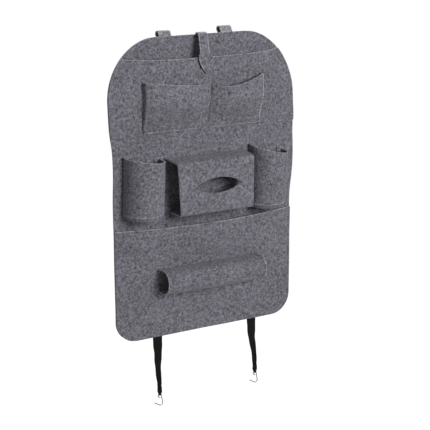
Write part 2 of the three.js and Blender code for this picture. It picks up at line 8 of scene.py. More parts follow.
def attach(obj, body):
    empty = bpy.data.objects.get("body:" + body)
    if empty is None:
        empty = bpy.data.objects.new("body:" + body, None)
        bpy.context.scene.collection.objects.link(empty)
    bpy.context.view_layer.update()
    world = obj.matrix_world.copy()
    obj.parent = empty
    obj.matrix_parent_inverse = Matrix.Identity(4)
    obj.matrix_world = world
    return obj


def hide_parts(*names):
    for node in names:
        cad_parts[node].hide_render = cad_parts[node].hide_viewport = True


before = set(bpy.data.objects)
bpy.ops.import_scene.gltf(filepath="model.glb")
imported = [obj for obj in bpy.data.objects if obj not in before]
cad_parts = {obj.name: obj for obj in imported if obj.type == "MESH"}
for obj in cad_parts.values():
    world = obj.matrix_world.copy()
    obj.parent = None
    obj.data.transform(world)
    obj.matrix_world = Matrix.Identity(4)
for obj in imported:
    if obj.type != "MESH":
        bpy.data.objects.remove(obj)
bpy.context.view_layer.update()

# Studio: a white floor well below the hanging organizer, a white surround, a soft key lamp in front
# of the pockets and a weaker lamp behind and above. The camera stands where the photograph was taken
# from, to the left of the pockets and a little above them.
FLOOR_DROP = 1.9
FLOOR_HALF = 30.0
FLOOR_TONE = (0.6, 0.6, 0.6, 1.0)
FLOOR_GLOW = 0.86
SURROUND_LIGHT = 0.25
PHOTO_WIDTH = 430
FOCAL_PIXELS = 1272.31
SENSOR_WIDTH = 36.0
CAMERA_PLACE = (-1.26488, -2.27579, 0.3008)
CAMERA_YAW = radians(30.0)
CAMERA_PITCH = radians(14.9)
CAMERA_ROLL = radians(-0.11)
AIM = Vector((0.0, 0.0, -0.32))
LAMPS = [
    ("key_lamp", (0.32, -2.54, 0.52), 1.1, 52.5),
    ("rear_lamp", (0.3, 1.3, 1.1), 1.0, 45.0),
]


def add_node(tree, kind, values=None, **settings):
    node = tree.nodes.new(kind)
    for key, value in settings.items():
        setattr(node, key, value)
    for socket, value in (values or {}).items():
        node.inputs[socket].default_value = value
    return node


def seen_straight(tree):
    """1 for a ray that shows the surround itself: from the camera, off gloss or through glass."""
    path = add_node(tree, "ShaderNodeLightPath")
    glossy = add_node(tree, "ShaderNodeMath", operation="MAXIMUM")
    tree.links.new(path.outputs["Is Camera Ray"], glossy.inputs[0])
    tree.links.new(path.outputs["Is Glossy Ray"], glossy.inputs[1])
    through = add_node(tree, "ShaderNodeMath", operation="MAXIMUM")
    tree.links.new(glossy.outputs[0], through.inputs[0])
    tree.links.new(path.outputs["Is Transmission Ray"], through.inputs[1])
    return through.outputs[0]


surround = bpy.data.worlds.new("white_surround")
bpy.context.scene.world = surround
surround.use_nodes = True
surround_nodes = surround.node_tree
surround_nodes.nodes.clear()
shown_white = add_node(surround_nodes, "ShaderNodeBackground", {"Color": (1, 1, 1, 1), "Strength": 1.0})
soft_light = add_node(
    surround_nodes, "ShaderNodeBackground", {"Color": (1, 1, 1, 1), "Strength": SURROUND_LIGHT}
)
surround_mix = add_node(surround_nodes, "ShaderNodeMixShader")
surround_out = add_node(surround_nodes, "ShaderNodeOutputWorld")
surround_nodes.links.new(seen_straight(surround_nodes), surround_mix.inputs[0])
surround_nodes.links.new(soft_light.outputs[0], surround_mix.inputs[1])
surround_nodes.links.new(shown_white.outputs[0], surround_mix.inputs[2])
surround_nodes.links.new(surround_mix.outputs[0], surround_out.inputs[0])

floor_paint = bpy.data.materials.new("floor_paint")
floor_paint.use_nodes = True
floor_tree = floor_paint.node_tree
floor_tree.nodes.clear()
matt = add_node(floor_tree, "ShaderNodeBsdfDiffuse", {"Color": FLOOR_TONE})
glow = add_node(floor_tree, "ShaderNodeEmission", {"Color": (1, 1, 1, 1)})
glow_share = add_node(floor_tree, "ShaderNodeMath", {1: FLOOR_GLOW}, operation="MULTIPLY")
floor_sum = add_node(floor_tree, "ShaderNodeAddShader")
floor_out = add_node(floor_tree, "ShaderNodeOutputMaterial")
floor_tree.links.new(seen_straight(floor_tree), glow_share.inputs[0])
floor_tree.links.new(glow_share.outputs[0], glow.inputs["Strength"])
floor_tree.links.new(matt.outputs[0], floor_sum.inputs[0])
floor_tree.links.new(glow.outputs[0], floor_sum.inputs[1])
floor_tree.links.new(floor_sum.outputs[0], floor_out.inputs[0])
floor_mesh = bpy.data.meshes.new("floor")
floor_mesh.from_pydata(
    [(x * FLOOR_HALF, y * FLOOR_HALF, -FLOOR_DROP) for x, y in ((-1, -1), (1, -1), (1, 1), (-1, 1))],
    [],
    [(0, 1, 2, 3)],
)
floor = bpy.data.objects.new("floor", floor_mesh)
floor_mesh.materials.append(floor_paint)
bpy.context.collection.objects.link(floor)

for lamp_name, place, size, power in LAMPS:
    lamp_data = bpy.data.lights.new(lamp_name, "AREA")
    lamp_data.shape = "DISK"
    lamp_data.size = size
    lamp_data.energy = power
    lamp = bpy.data.objects.new(lamp_name, lamp_data)
    lamp.location = place
    lamp.rotation_euler = (AIM - Vector(place)).to_track_quat("-Z", "Y").to_euler()
    bpy.context.collection.objects.link(lamp)

look = Vector((
    sin(CAMERA_YAW) * cos(CAMERA_PITCH),
    cos(CAMERA_YAW) * cos(CAMERA_PITCH),
    -sin(CAMERA_PITCH),
))
level = Vector((cos(CAMERA_YAW), -sin(CAMERA_YAW), 0.0))
upright = level.cross(look)
right = level * cos(CAMERA_ROLL) + upright * sin(CAMERA_ROLL)
upward = upright * cos(CAMERA_ROLL) - level * sin(CAMERA_ROLL)
camera_data = bpy.data.cameras.new("photo_camera")
camera_data.sensor_width = SENSOR_WIDTH
camera_data.lens = FOCAL_PIXELS / PHOTO_WIDTH * SENSOR_WIDTH
camera = bpy.data.objects.new("photo_camera", camera_data)
camera.matrix_world = Matrix((
    (right.x, upward.x, -look.x, CAMERA_PLACE[0]),
    (right.y, upward.y, -look.y, CAMERA_PLACE[1]),
    (right.z, upward.z, -look.z, CAMERA_PLACE[2]),
    (0, 0, 0, 1),
))
bpy.context.collection.objects.link(camera)
bpy.context.scene.camera = camera
bpy.context.scene.view_settings.view_transform = "Standard"

# Back panel: one piece of 3 mm grey needle felt, die cut with round lower corners and broad
# shoulders. It hangs flat at the bottom, is drawn forward at the waist by the pockets, and leans back
# to the headrest. All forms are worked out in millimetres from the panel's bottom edge.
HANG_Y = 42.5
HANG_Z = 629.0
FELT = 3.0
GAP = 0.3
LAID_GAP = 0.5
SEAM = 7.0
LOWER_HALF = 210.0
WAIST = (260.0, 330.0, 2.0)
CHEST = (395.0, 450.0, 3.5)
CORNER_RADIUS = 45.0
SHOULDER_X = 105.0
SHOULDER_Z = 497.0
SHOULDER_RISE = 125.5
SHOULDER_POWER = 1.9
PANEL_TOP = SHOULDER_Z + SHOULDER_RISE
CHEST_HALF = LOWER_HALF + WAIST[2] + CHEST[2]
BELLY_Z = 365.0
BELLY_REACH = 115.0
BELLY = 8.0
LEAN = (430.0, 600.0, 11.0)
HOLLOW = (465.0, 600.0, 3.0)
WAVES = (
    (0.34, 47.0, 61.0, 1.3),
    (0.3, -33.0, 21.0, 0.4),
    (0.22, 15.0, -26.0, 2.1),
    (0.12, 11.0, 14.0, 0.7),
)
EDGE_STEPS = (0, 1.2, 2.4, 3.6, 4.8, 6.0, 7.4, 9.4, 12.5)
CORNER_ROWS = 16
SHOULDER_ROWS = 28
LOWEST_SIDE_ROW = 49.0
ROW_PITCH = 5.2
PANEL_COLUMNS = 70
OUTLINE_COUNTS = (40, 60, 120, 30)
RIM_SOFTNESS = 0.0008
SEAM_INSET = 6.0
SEAM_DIMPLE = 0.8
SEAM_DIMPLE_WIDTH = 1.8
FELT_TONE = (0.150, 0.147, 0.173)
FELT_PALE = (0.46, 0.45, 0.50)
FELT_DARK = (0.028, 0.027, 0.034)
# Paler cut-edge tone: partly the cut felt's own, partly painted highlight. It is also painted as highlight
# lines along edges on outer faces.
FELT_CUT_AND_HIGHLIGHT_TONE = (0.33, 0.325, 0.36)
CLUMP_SCALE = 205.0
SPECK_SCALE = 620.0
DRIFT_SCALE = 11.0
HAIR_SCALE = 290.0
FINE_HAIR_SCALE = 470.0
HAIR_WIDTH = 0.028
HAIR_STRENGTH = 0.55
THREAD_TONE = (0.27, 0.267, 0.29)
THREAD_RADIUS = 0.32
THREAD_SIDES = 6
STITCH_PITCH = 4.2
STITCH_LENGTH = 3.4
STITCH_RISE = 0.5
STITCH_TAPER = (0.6, 1, 1, 1, 1, 0.6)
PLY_SCALE = 900.0
FORWARD = (0.0, -1.0, 0.0)
BACKWARD = (0.0, 1.0, 0.0)


def smooth(value, low, high):
    share = np.clip((np.asarray(value, float) - low) / (high - low), 0, 1)
    return share * share * (3 - 2 * share)


def half_width(z):
    z = np.asarray(z, float)
    below = CORNER_RADIUS - np.minimum(z, CORNER_RADIUS)
    corner = LOWER_HALF - CORNER_RADIUS + np.sqrt(np.maximum(CORNER_RADIUS ** 2 - below ** 2, 0))
    side = LOWER_HALF + WAIST[2] * smooth(z, *WAIST[:2]) + CHEST[2] * smooth(z, *CHEST[:2])
    rise = np.clip((z - SHOULDER_Z) / SHOULDER_RISE, 0, 1)
    reach = (1 - rise ** SHOULDER_POWER) ** (1 / SHOULDER_POWER)
    shoulder = SHOULDER_X + (CHEST_HALF - SHOULDER_X) * reach
    return np.where(z < CORNER_RADIUS, corner, np.where(z <= SHOULDER_Z, side, shoulder))


def panel_front(x, z):
    belly = BELLY * np.cos(np.clip((z - BELLY_Z) / BELLY_REACH, -1, 1) * pi / 2) ** 2
    inward = 1 - np.minimum(1, np.abs(x) / CHEST_HALF) ** 2
    hollow = HOLLOW[2] * smooth(z, *HOLLOW[:2]) * inward
    waves = sum(size * np.sin(x / run_x + z / run_z + start) for size, run_x, run_z, start in WAVES)
    return LEAN[2] * smooth(z, *LEAN[:2]) + hollow - belly + waves


def edge_distance(x, z):
    """How far a point is inside the panel's outline, near enough for a seam that follows it."""
    slope = half_width(z + 0.5) - half_width(z - 0.5)
    side = (half_width(z) - np.abs(x)) / np.sqrt(1 + slope ** 2)
    return np.minimum(side, np.minimum(z, PANEL_TOP - z))


def dimple(distance, depth=SEAM_DIMPLE, width=SEAM_DIMPLE_WIDTH):
    """How deep a seam at this distance pulls the felt in."""
    return depth * np.exp(-((distance / width) ** 2))


def outline_dimple(x, z):
    return dimple(edge_distance(x, z) - SEAM_INSET)


def as_points(*coordinates):
    """Points from their separate coordinates. One that is a single number holds for every point."""
    return np.stack(np.broadcast_arrays(*coordinates), axis=-1)


def to_frame(points):
    """Millimetres from the panel's bottom edge to metres from the hanging line."""
    moved = np.asarray(points, float) - np.array((0.0, HANG_Y, HANG_Z))
    return moved / 1000


def heights_between(low, high, pitch, close_low=False, close_high=False):
    """Row heights, set closer along an edge that has a seam."""
    rows = list(np.linspace(low, high, max(2, round((high - low) / pitch) + 1)))
    if close_low:
        rows = [z for z in rows if z > low + EDGE_STEPS[-1]] + [low + step for step in EDGE_STEPS]
    if close_high:
        rows = [z for z in rows if z < high - EDGE_STEPS[-1]] + [high - step for step in EDGE_STEPS]
    return sorted(set(rows))


def full_width_columns(z, count):
    """x over the whole width of the panel at each height, closer along both sides."""
    half = half_width(z)[:, None]
    near = np.array(EDGE_STEPS)[None, :]
    inner = half - EDGE_STEPS[-1]
    middle = np.linspace(-1, 1, count + 2)[None, 1:-1] * inner
    return np.concatenate([near - half, middle, (half - near)[:, ::-1]], axis=1)


def grid_faces(rows, columns, keep=None):
    ids = np.arange(rows * columns).reshape(rows, columns)
    quads = np.stack([ids[:-1, :-1], ids[:-1, 1:], ids[1:, 1:], ids[1:, :-1]], axis=-1)
    if keep is not None:
        return quads[keep].reshape(-1, 4)
    return quads.reshape(-1, 4)


def vertex_normals(points, faces):
    corners = points[faces]
    across = np.cross(corners[:, 2] - corners[:, 0], corners[:, 3] - corners[:, 1])
    normals = np.zeros_like(points)
    for corner in range(4):
        np.add.at(normals, faces[:, corner], across)
    return normals / np.maximum(np.linalg.norm(normals, axis=1, keepdims=True), 1e-12)


def sheet_solid(face, faces, other):
    """Vertices, faces and rim marks of a closed sheet. face is its outer side, and other is the same
    grid on its inner side."""
    count = len(face)
    edges = {}
    for quad in faces:
        for a, b in zip(quad, np.roll(quad, -1)):
            key = (int(min(a, b)), int(max(a, b)))
            edges[key] = None if key in edges else (int(a), int(b))
    rim = [(a + count, b + count, b, a) for a, b in (e for e in edges.values() if e)]
    solid = [tuple(int(k) for k in quad) for quad in faces]
    solid += [tuple(int(k) + count for k in quad[::-1]) for quad in faces]
    marks = [0] * len(solid) + [1] * len(rim)
    return np.concatenate([face, other]), solid + rim, marks


def grid_solid(face, other):
    """A closed sheet between two whole grids, as sheet_solid gives it."""
    return sheet_solid(face.reshape(-1, 3), grid_faces(*face.shape[:2]), other.reshape(-1, 3))


def add_piece(name, points, faces, materials, marks=None):
    mesh = bpy.data.meshes.new(name)
    mesh.from_pydata(to_frame(points).tolist(), [], faces)
    for material in materials:
        mesh.materials.append(material)
    if marks is not None:
        mesh.polygons.foreach_set("material_index", marks)
    mesh.polygons.foreach_set("use_smooth", [True] * len(mesh.polygons))
    mesh.update()
    piece = bpy.data.objects.new(name, mesh)
    bpy.context.collection.objects.link(piece)
    return piece


def soften_rim(piece, width=RIM_SOFTNESS):
    """Felt's cut edge is a little round."""
    bevel = piece.modifiers.new("soft_rim", "BEVEL")
    bevel.width = width
    bevel.segments = 3
    bevel.limit_method = "ANGLE"
    bevel.angle_limit = radians(55)
    bevel.use_clamp_overlap = True


def felt_piece(name, face, other, nodes, pale=(), finish=None):
    """A closed felt sheet between two grids, outer side first, that stands for CAD nodes. Its rim takes the
    paler cut-edge tone, partly the felt's own and partly painted highlight. The outer side takes the same
    tone as a painted highlight on the faces that each pick in pale takes from its grid."""
    points, solid, marks = grid_solid(face, other)
    cut = np.zeros((face.shape[0] - 1, face.shape[1] - 1), int)
    for pick in pale:
        cut[pick] = 1
    marks[:cut.size] = cut.ravel().tolist()
    piece = add_piece(name, points, solid, [finish or felt, felt_cut_and_highlight], marks)
    soften_rim(piece)
    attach(piece, "root")
    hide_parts(*nodes)


def new_group(name, inputs, outputs):
    group = bpy.data.node_groups.new(name, "ShaderNodeTree")
    for socket, kind, value in inputs:
        made = group.interface.new_socket(name=socket, in_out="INPUT", socket_type=kind)
        made.default_value = value
    for socket, kind in outputs:
        group.interface.new_socket(name=socket, in_out="OUTPUT", socket_type=kind)
    return group, add_node(group, "NodeGroupInput"), add_node(group, "NodeGroupOutput")


def noise(tree, coordinates, scale, detail, roughness=0.5, distortion=0.0):
    texture = add_node(
        tree,
        "ShaderNodeTexNoise",
        {"Scale": scale, "Detail": detail, "Roughness": roughness, "Distortion": distortion},
    )
    tree.links.new(coordinates, texture.inputs["Vector"])
    return texture.outputs["Fac"]


def remap(tree, value, low, high, to_low=0.0, to_high=1.0):
    node = add_node(
        tree,
        "ShaderNodeMapRange",
        {"From Min": low, "From Max": high, "To Min": to_low, "To Max": to_high},
    )
    tree.links.new(value, node.inputs["Value"])
    return node.outputs["Result"]


def combine(tree, operation, first, second):
    node = add_node(tree, "ShaderNodeMath", operation=operation)
    for slot_index, value in enumerate((first, second)):
        if isinstance(value, (int, float)):
            node.inputs[slot_index].default_value = value
        else:
            tree.links.new(value, node.inputs[slot_index])
    return node.outputs[0]


def blend_colour(tree, share, first, second):
    node = add_node(tree, "ShaderNodeMix", data_type="RGBA")
    tree.links.new(share, node.inputs[0])
    for socket, value in ((6, first), (7, second)):
        if isinstance(value, tuple):
            node.inputs[socket].default_value = value
        else:
            tree.links.new(value, node.inputs[socket])
    return node.outputs[2]


def near_middle(tree, value, width):
    """1 along the lines where a noise crosses its middle, which run like curled hairs."""
    offset = combine(tree, "ABSOLUTE", combine(tree, "SUBTRACT", value, 0.5), 0.0)
    return remap(tree, offset, 0.0, width, 1.0, 0.0)


def needled_fibres():
    """Matted fibres: light and dark clumps, fine pale and dark curled hairs, and a slow drift of
    tone."""
    group, inside, outside = new_group(
        "needled_fibres",
        [
            ("Tone", "NodeSocketColor", (*FELT_TONE, 1)),
            ("Pale Fibre", "NodeSocketColor", (*FELT_PALE, 1)),
            ("Dark Fibre", "NodeSocketColor", (*FELT_DARK, 1)),
            ("Pale Share", "NodeSocketFloat", 0.5),
            ("Dark Share", "NodeSocketFloat", 0.5),
        ],
        [("Colour", "NodeSocketColor"), ("Nap", "NodeSocketFloat")],
    )
    place = add_node(group, "ShaderNodeTexCoord").outputs["Object"]
    clumps = noise(group, place, CLUMP_SCALE, 3.0, 0.6, 0.7)
    specks = noise(group, place, SPECK_SCALE, 3.0, 0.6)
    drift = noise(group, place, DRIFT_SCALE, 2.0)
    curls = noise(group, place, HAIR_SCALE, 2.0, 0.5, 2.4)
    finer = noise(group, place, FINE_HAIR_SCALE, 2.0, 0.5, 1.8)
    pale_hair = near_middle(group, curls, HAIR_WIDTH)
    dark_hair = near_middle(group, finer, HAIR_WIDTH)
    shares = []
    for hair, low, high, socket in (
        (pale_hair, 0.53, 0.7, "Pale Share"),
        (dark_hair, 0.47, 0.32, "Dark Share"),
    ):
        faint = combine(group, "MULTIPLY", hair, HAIR_STRENGTH)
        stronger = combine(group, "MAXIMUM", faint, remap(group, specks, low, high))
        shares.append(combine(group, "MULTIPLY", stronger, inside.outputs[socket]))
    pale, dark = shares
    colour = blend_colour(group, pale, inside.outputs["Tone"], inside.outputs["Pale Fibre"])
    colour = blend_colour(group, dark, colour, inside.outputs["Dark Fibre"])
    clump_level = remap(group, clumps, 0.34, 0.66, 0.46, 1.6)
    drift_level = remap(group, drift, 0.3, 0.7, 0.93, 1.07)
    level = combine(group, "MULTIPLY", clump_level, drift_level)
    mottled = add_node(group, "ShaderNodeHueSaturation")
    group.links.new(level, mottled.inputs["Value"])
    group.links.new(colour, mottled.inputs["Color"])
    nap = combine(group, "MULTIPLY", clumps, 0.6)
    for part, height in ((pale_hair, 0.25), (specks, 0.45)):
        nap = combine(group, "ADD", nap, combine(group, "MULTIPLY", part, height))
    group.links.new(mottled.outputs["Color"], outside.inputs["Colour"])
    group.links.new(nap, outside.inputs["Nap"])
    return group


def cloth_material(name, group, group_values, roughness, sheen, bump, relief, shine=0.2):
    """A matt cloth finish: the group's first output is its colour and its second the relief."""
    material = bpy.data.materials.new(name)
    material.use_nodes = True
    tree = material.node_tree
    shader = tree.nodes["Principled BSDF"]
    shader.inputs["Roughness"].default_value = roughness
    shader.inputs["Specular IOR Level"].default_value = shine
    shader.inputs["Sheen Weight"].default_value = sheen
    shader.inputs["Sheen Roughness"].default_value = 0.6
    made = add_node(tree, "ShaderNodeGroup", node_tree=group)
    for socket, value in group_values.items():
        made.inputs[socket].default_value = value
    height = add_node(tree, "ShaderNodeBump", {"Strength": bump, "Distance": relief})
    tree.links.new(made.outputs[0], shader.inputs["Base Color"])
    tree.links.new(made.outputs[1], height.inputs["Height"])
    tree.links.new(height.outputs["Normal"], shader.inputs["Normal"])
    return material


fibres = needled_fibres()
felt = cloth_material(
    "grey_needle_felt",
    fibres,
    {"Tone": (*FELT_TONE, 1), "Pale Share": 0.38, "Dark Share": 0.45},
    roughness=0.95,
    sheen=0.12,
    bump=0.55,
    relief=0.0012,
)
# Cut edges: partly the felt's own paler cut, partly painted highlight where the rounded edges catch the
# light.
felt_cut_and_highlight = cloth_material(
    "felt_cut_edge_and_painted_highlight",
    fibres,
    {"Tone": (*FELT_CUT_AND_HIGHLIGHT_TONE, 1), "Pale Share": 0.5, "Dark Share": 0.35},
    roughness=0.98,
    sheen=0.12,
    bump=0.7,
    relief=0.0014,
)


def twisted_thread():
    """Two plies twisted together: fine slanting bands along each stitch."""
    group, inside, outside = new_group(
        "twisted_thread",
        [("Tone", "NodeSocketColor", (*THREAD_TONE, 1)), ("Ply Scale", "NodeSocketFloat", PLY_SCALE)],
        [("Colour", "NodeSocketColor"), ("Ply", "NodeSocketFloat")],
    )
    place = add_node(group, "ShaderNodeTexCoord").outputs["Object"]
    plies = add_node(group, "ShaderNodeTexWave", {"Distortion": 0.4}, bands_direction="DIAGONAL")
    group.links.new(place, plies.inputs["Vector"])
    group.links.new(inside.outputs["Ply Scale"], plies.inputs["Scale"])
    between = remap(group, plies.outputs["Fac"], 0.2, 0.9, 0.0, 0.5)
    colour = blend_colour(group, between, inside.outputs["Tone"], (*FELT_DARK, 1))
    group.links.new(colour, outside.inputs["Colour"])
    group.links.new(plies.outputs["Fac"], outside.inputs["Ply"])
    return group


thread = cloth_material(
    "grey_sewing_thread",
    twisted_thread(),
    {"Tone": (*THREAD_TONE, 1)},
    roughness=0.6,
    sheen=0.1,
    bump=0.5,
    relief=0.0002,
)


def stitches(track, outward):
    """Points and faces of the stitches of one seam. track lies on the felt, and outward is where the
    felt faces."""
    track = np.asarray(track, float)
    outward = np.broadcast_to(np.asarray(outward, float), track.shape)
    run = np.concatenate([[0.0], np.cumsum(np.linalg.norm(np.diff(track, axis=0), axis=1))])
    count = max(1, int(run[-1] // STITCH_PITCH))
    first = (run[-1] - count * STITCH_PITCH + STITCH_PITCH - STITCH_LENGTH) / 2
    rings = len(STITCH_TAPER)
    shares = np.linspace(0, 1, rings)
    at = first + STITCH_PITCH * np.arange(count)[:, None] + STITCH_LENGTH * shares
    middle = np.stack([np.interp(at, run, track[:, k]) for k in range(3)], axis=-1)
    up = np.stack([np.interp(at, run, outward[:, k]) for k in range(3)], axis=-1)
    up /= np.linalg.norm(up, axis=-1, keepdims=True)
    middle = middle + up * (STITCH_RISE * np.sqrt(np.sin(pi * shares)) - THREAD_RADIUS)[:, None]
    along = middle[:, -1:] - middle[:, :1]
    along /= np.linalg.norm(along, axis=-1, keepdims=True)
    side = np.cross(along, up)[:, :, None]
    turns = np.linspace(0, tau, THREAD_SIDES, endpoint=False)[:, None]
    ring = np.cos(turns) * side + np.sin(turns) * up[:, :, None]
    radii = THREAD_RADIUS * np.array(STITCH_TAPER)[:, None, None]
    points = (middle[:, :, None] + ring * radii).reshape(-1, 3)
    faces = []
    for start in range(0, len(points), rings * THREAD_SIDES):
        for step in range(rings - 1):
            base = start + step * THREAD_SIDES
            for k in range(THREAD_SIDES):
                after = (k + 1) % THREAD_SIDES
                faces.append((base + k, base + THREAD_SIDES + k, base + THREAD_SIDES + after, base + after))
        faces.append(tuple(range(start, start + THREAD_SIDES)))
        last = start + (rings - 1) * THREAD_SIDES
        faces.append(tuple(range(last + THREAD_SIDES - 1, last - 1, -1)))
    return points, faces


def sew(name, seams):
    """One piece of thread for a list of seams, each a track and the direction its felt faces."""
    points, faces = [], []
    for track, outward in seams:
        found, quads = stitches(track, outward)
        start = sum(len(part) for part in points)
        points.append(found)
        faces += [tuple(k + start for k in quad) for quad in quads]
    piece = add_piece(name, np.concatenate(points), faces, [thread])
    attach(piece, "root")


corner_rows = [CORNER_RADIUS * (1 - cos(k * pi / 2 / CORNER_ROWS)) for k in range(CORNER_ROWS + 1)]
corner_rows = [z for z in corner_rows if z > EDGE_STEPS[-1]] + list(EDGE_STEPS)
shoulder_turns = [k * pi / 2 / SHOULDER_ROWS for k in range(1, SHOULDER_ROWS + 1)]
shoulder_rows = [SHOULDER_Z + SHOULDER_RISE * sin(turn) for turn in shoulder_turns]
shoulder_rows = [z for z in shoulder_rows if z < PANEL_TOP - EDGE_STEPS[-1]]
shoulder_rows += [PANEL_TOP - step for step in EDGE_STEPS]
side_rows = heights_between(LOWEST_SIDE_ROW, SHOULDER_Z, ROW_PITCH)
panel_rows = np.array(sorted(corner_rows + side_rows + shoulder_rows))
panel_x = full_width_columns(panel_rows, PANEL_COLUMNS)
panel_z = np.repeat(panel_rows[:, None], panel_x.shape[1], axis=1)
panel_y = panel_front(panel_x, panel_z)
panel_dimple = outline_dimple(panel_x, panel_z)
felt_piece(
    "felt_back_panel",
    as_points(panel_x, panel_y + panel_dimple, panel_z),
    as_points(panel_x, panel_y + FELT - panel_dimple, panel_z),
    ["back_panel"],
)


def inset_outline(inset):
    """The panel's outline moved in by a seam's distance from the edge, once round from the middle of
    its lower edge, as (x, z)."""
    low_count, turn_count, side_count, top_count = OUTLINE_COUNTS
    turns = np.linspace(0, 1, turn_count) * pi / 2
    corner_x = LOWER_HALF - CORNER_RADIUS
    low = [(x, 0.0) for x in np.linspace(0, corner_x, low_count)]
    corner = [(corner_x + CORNER_RADIUS * sin(turn), CORNER_RADIUS * (1 - cos(turn))) for turn in turns]
    side = [(float(half_width(z)), z) for z in np.linspace(CORNER_RADIUS, SHOULDER_Z, side_count)]
    rises = [SHOULDER_Z + SHOULDER_RISE * sin(turn) for turn in turns]
    shoulder = [(float(half_width(z)), z) for z in rises]
    top = [(x, PANEL_TOP) for x in np.linspace(SHOULDER_X, 0, top_count)]
    half = np.array(low + corner[1:] + side[1:] + shoulder[1:] + top[1:])
    outline = np.concatenate([half, half[::-1][1:] * (-1, 1)])
    along = np.gradient(outline, axis=0)
    along /= np.maximum(np.linalg.norm(along, axis=1, keepdims=True), 1e-9)
    return outline + inset * as_points(-along[:, 1], along[:, 0])


seam_x, seam_z = inset_outline(SEAM_INSET).T
back_of_panel = panel_front(seam_x, seam_z) + FELT - SEAM_DIMPLE
sew("thread_panel_back", [(as_points(seam_x, back_of_panel, seam_z), BACKWARD)])

# Magazine pocket: a felt sheet with the panel's own lower outline, sewn on along the sides and the
# bottom. It bows forward between the side seams, most at its open mouth.
MAGAZINE_MOUTH = 239.0
MAGAZINE_GAPE = 29.0
MAGAZINE_TIGHT = 22.0
MAGAZINE_SWELL = 1.2
MAGAZINE_ROUND = 2.0


def gape(x, z, depth, roundness):
    """How far a full-width pocket stands off between its side seams."""
    open_half = half_width(z) - SEAM
    return depth * (1 - np.minimum(1, np.abs(x) / open_half) ** roundness)


def magazine_back(x, z):
    loose = np.clip((z - MAGAZINE_TIGHT) / (MAGAZINE_MOUTH - MAGAZINE_TIGHT), 0, 1)
    return panel_front(x, z) - GAP - gape(x, z, MAGAZINE_GAPE * loose ** MAGAZINE_SWELL, MAGAZINE_ROUND)


def magazine_front(x, z):
    return magazine_back(x, z) - FELT


magazine_side = heights_between(LOWEST_SIDE_ROW, MAGAZINE_MOUTH, ROW_PITCH, close_high=True)
magazine_rows = np.array(sorted(corner_rows + magazine_side))
magazine_x = full_width_columns(magazine_rows, PANEL_COLUMNS)
magazine_z = np.repeat(magazine_rows[:, None], magazine_x.shape[1], axis=1)
magazine_y = magazine_back(magazine_x, magazine_z)
magazine_dimple = outline_dimple(magazine_x, magazine_z)
# The top row of the outer side carries a painted highlight along the mouth edge.
felt_piece(
    "felt_magazine_pocket",
    as_points(magazine_x, magazine_y - FELT + magazine_dimple, magazine_z),
    as_points(magazine_x, magazine_y, magazine_z),
    ["magazine_pocket"],
    pale=[np.s_[-1]],
)

# Book pocket: a felt sheet across the chest with the panel's own side outline, sewn on along both
# sides and its lower edge. Its mouth sags a little and stands open.
BOOK_BOTTOM = 430.0
BOOK_MOUTH = 584.0
BOOK_GAPE = 22.0
BOOK_SAG = 5.0
BOOK_ROUND = 3.5
BOOK_FILL = (BOOK_BOTTOM + SEAM, 505.0, 0.7)
BOOK_OPEN = (480.0, BOOK_MOUTH, 0.3)
BOOK_SEAM_Z = BOOK_BOTTOM + 4.0
BOOK_ROW_PITCH = 4.0
BOOK_COLUMNS = 76
BOOK_SAG_POWER = 4
BOOK_SEAM_POINTS = 200


def book_back(x, z):
    opening = BOOK_FILL[2] * smooth(z, *BOOK_FILL[:2]) + BOOK_OPEN[2] * smooth(z, *BOOK_OPEN[:2])
    return panel_front(x, z) - GAP - gape(x, z, BOOK_GAPE * opening, BOOK_ROUND)


def book_front(x, z):
    return book_back(x, z) - FELT


book_rows = np.array(
    heights_between(BOOK_BOTTOM, BOOK_MOUTH, BOOK_ROW_PITCH, close_low=True, close_high=True)
)
book_x = full_width_columns(book_rows, BOOK_COLUMNS)
book_side = np.abs(book_x) / half_width(book_rows)[:, None]
book_sag = BOOK_SAG * smooth(book_rows, BOOK_BOTTOM, BOOK_MOUTH)[:, None]
book_sag = book_sag * (1 - book_side ** BOOK_SAG_POWER)
book_z = book_rows[:, None] - book_sag
book_y = book_back(book_x, book_z)
book_dimple = np.maximum(outline_dimple(book_x, book_z), dimple(book_z - BOOK_SEAM_Z))
# The top row of the outer side carries a painted highlight along the mouth edge.
felt_piece(
    "felt_book_pocket",
    as_points(book_x, book_y - FELT + book_dimple, book_z),
    as_points(book_x, book_y, book_z),
    ["book_pocket"],
    pale=[np.s_[-1]],
)
book_seam_x = np.linspace(-CHEST_HALF + EDGE_STEPS[-1], CHEST_HALF - EDGE_STEPS[-1], BOOK_SEAM_POINTS)
book_seam_z = np.full_like(book_seam_x, BOOK_SEAM_Z)
book_seam_y = book_front(book_seam_x, book_seam_z) + SEAM_DIMPLE
book_seam_back = panel_front(book_seam_x, book_seam_z) + FELT
sew("thread_book_pocket", [
    (as_points(book_seam_x, book_seam_y, book_seam_z), FORWARD),
    (as_points(book_seam_x, book_seam_back, book_seam_z), BACKWARD),
])

# The seam round the edge joins the panel and both full-width pockets. It runs over the pockets where
# they lie, and over the bare panel between and above them.
EDGE_CLEAR = 1.0
layers = (
    (-EDGE_CLEAR, MAGAZINE_MOUTH, magazine_front),
    (MAGAZINE_MOUTH, BOOK_BOTTOM, panel_front),
    (BOOK_BOTTOM, BOOK_MOUTH, book_front),
    (BOOK_MOUTH, PANEL_TOP, panel_front),
)
edge_seams = []
for low, high, front_at in layers:
    places = np.flatnonzero((seam_z >= low + EDGE_CLEAR) & (seam_z < high - EDGE_CLEAR))
    for run in np.split(places, np.flatnonzero(np.diff(places) > 1) + 1):
        depth = front_at(seam_x[run], seam_z[run]) + SEAM_DIMPLE
        edge_seams.append((as_points(seam_x[run], depth, seam_z[run]), FORWARD))
sew("thread_panel_front", edge_seams)

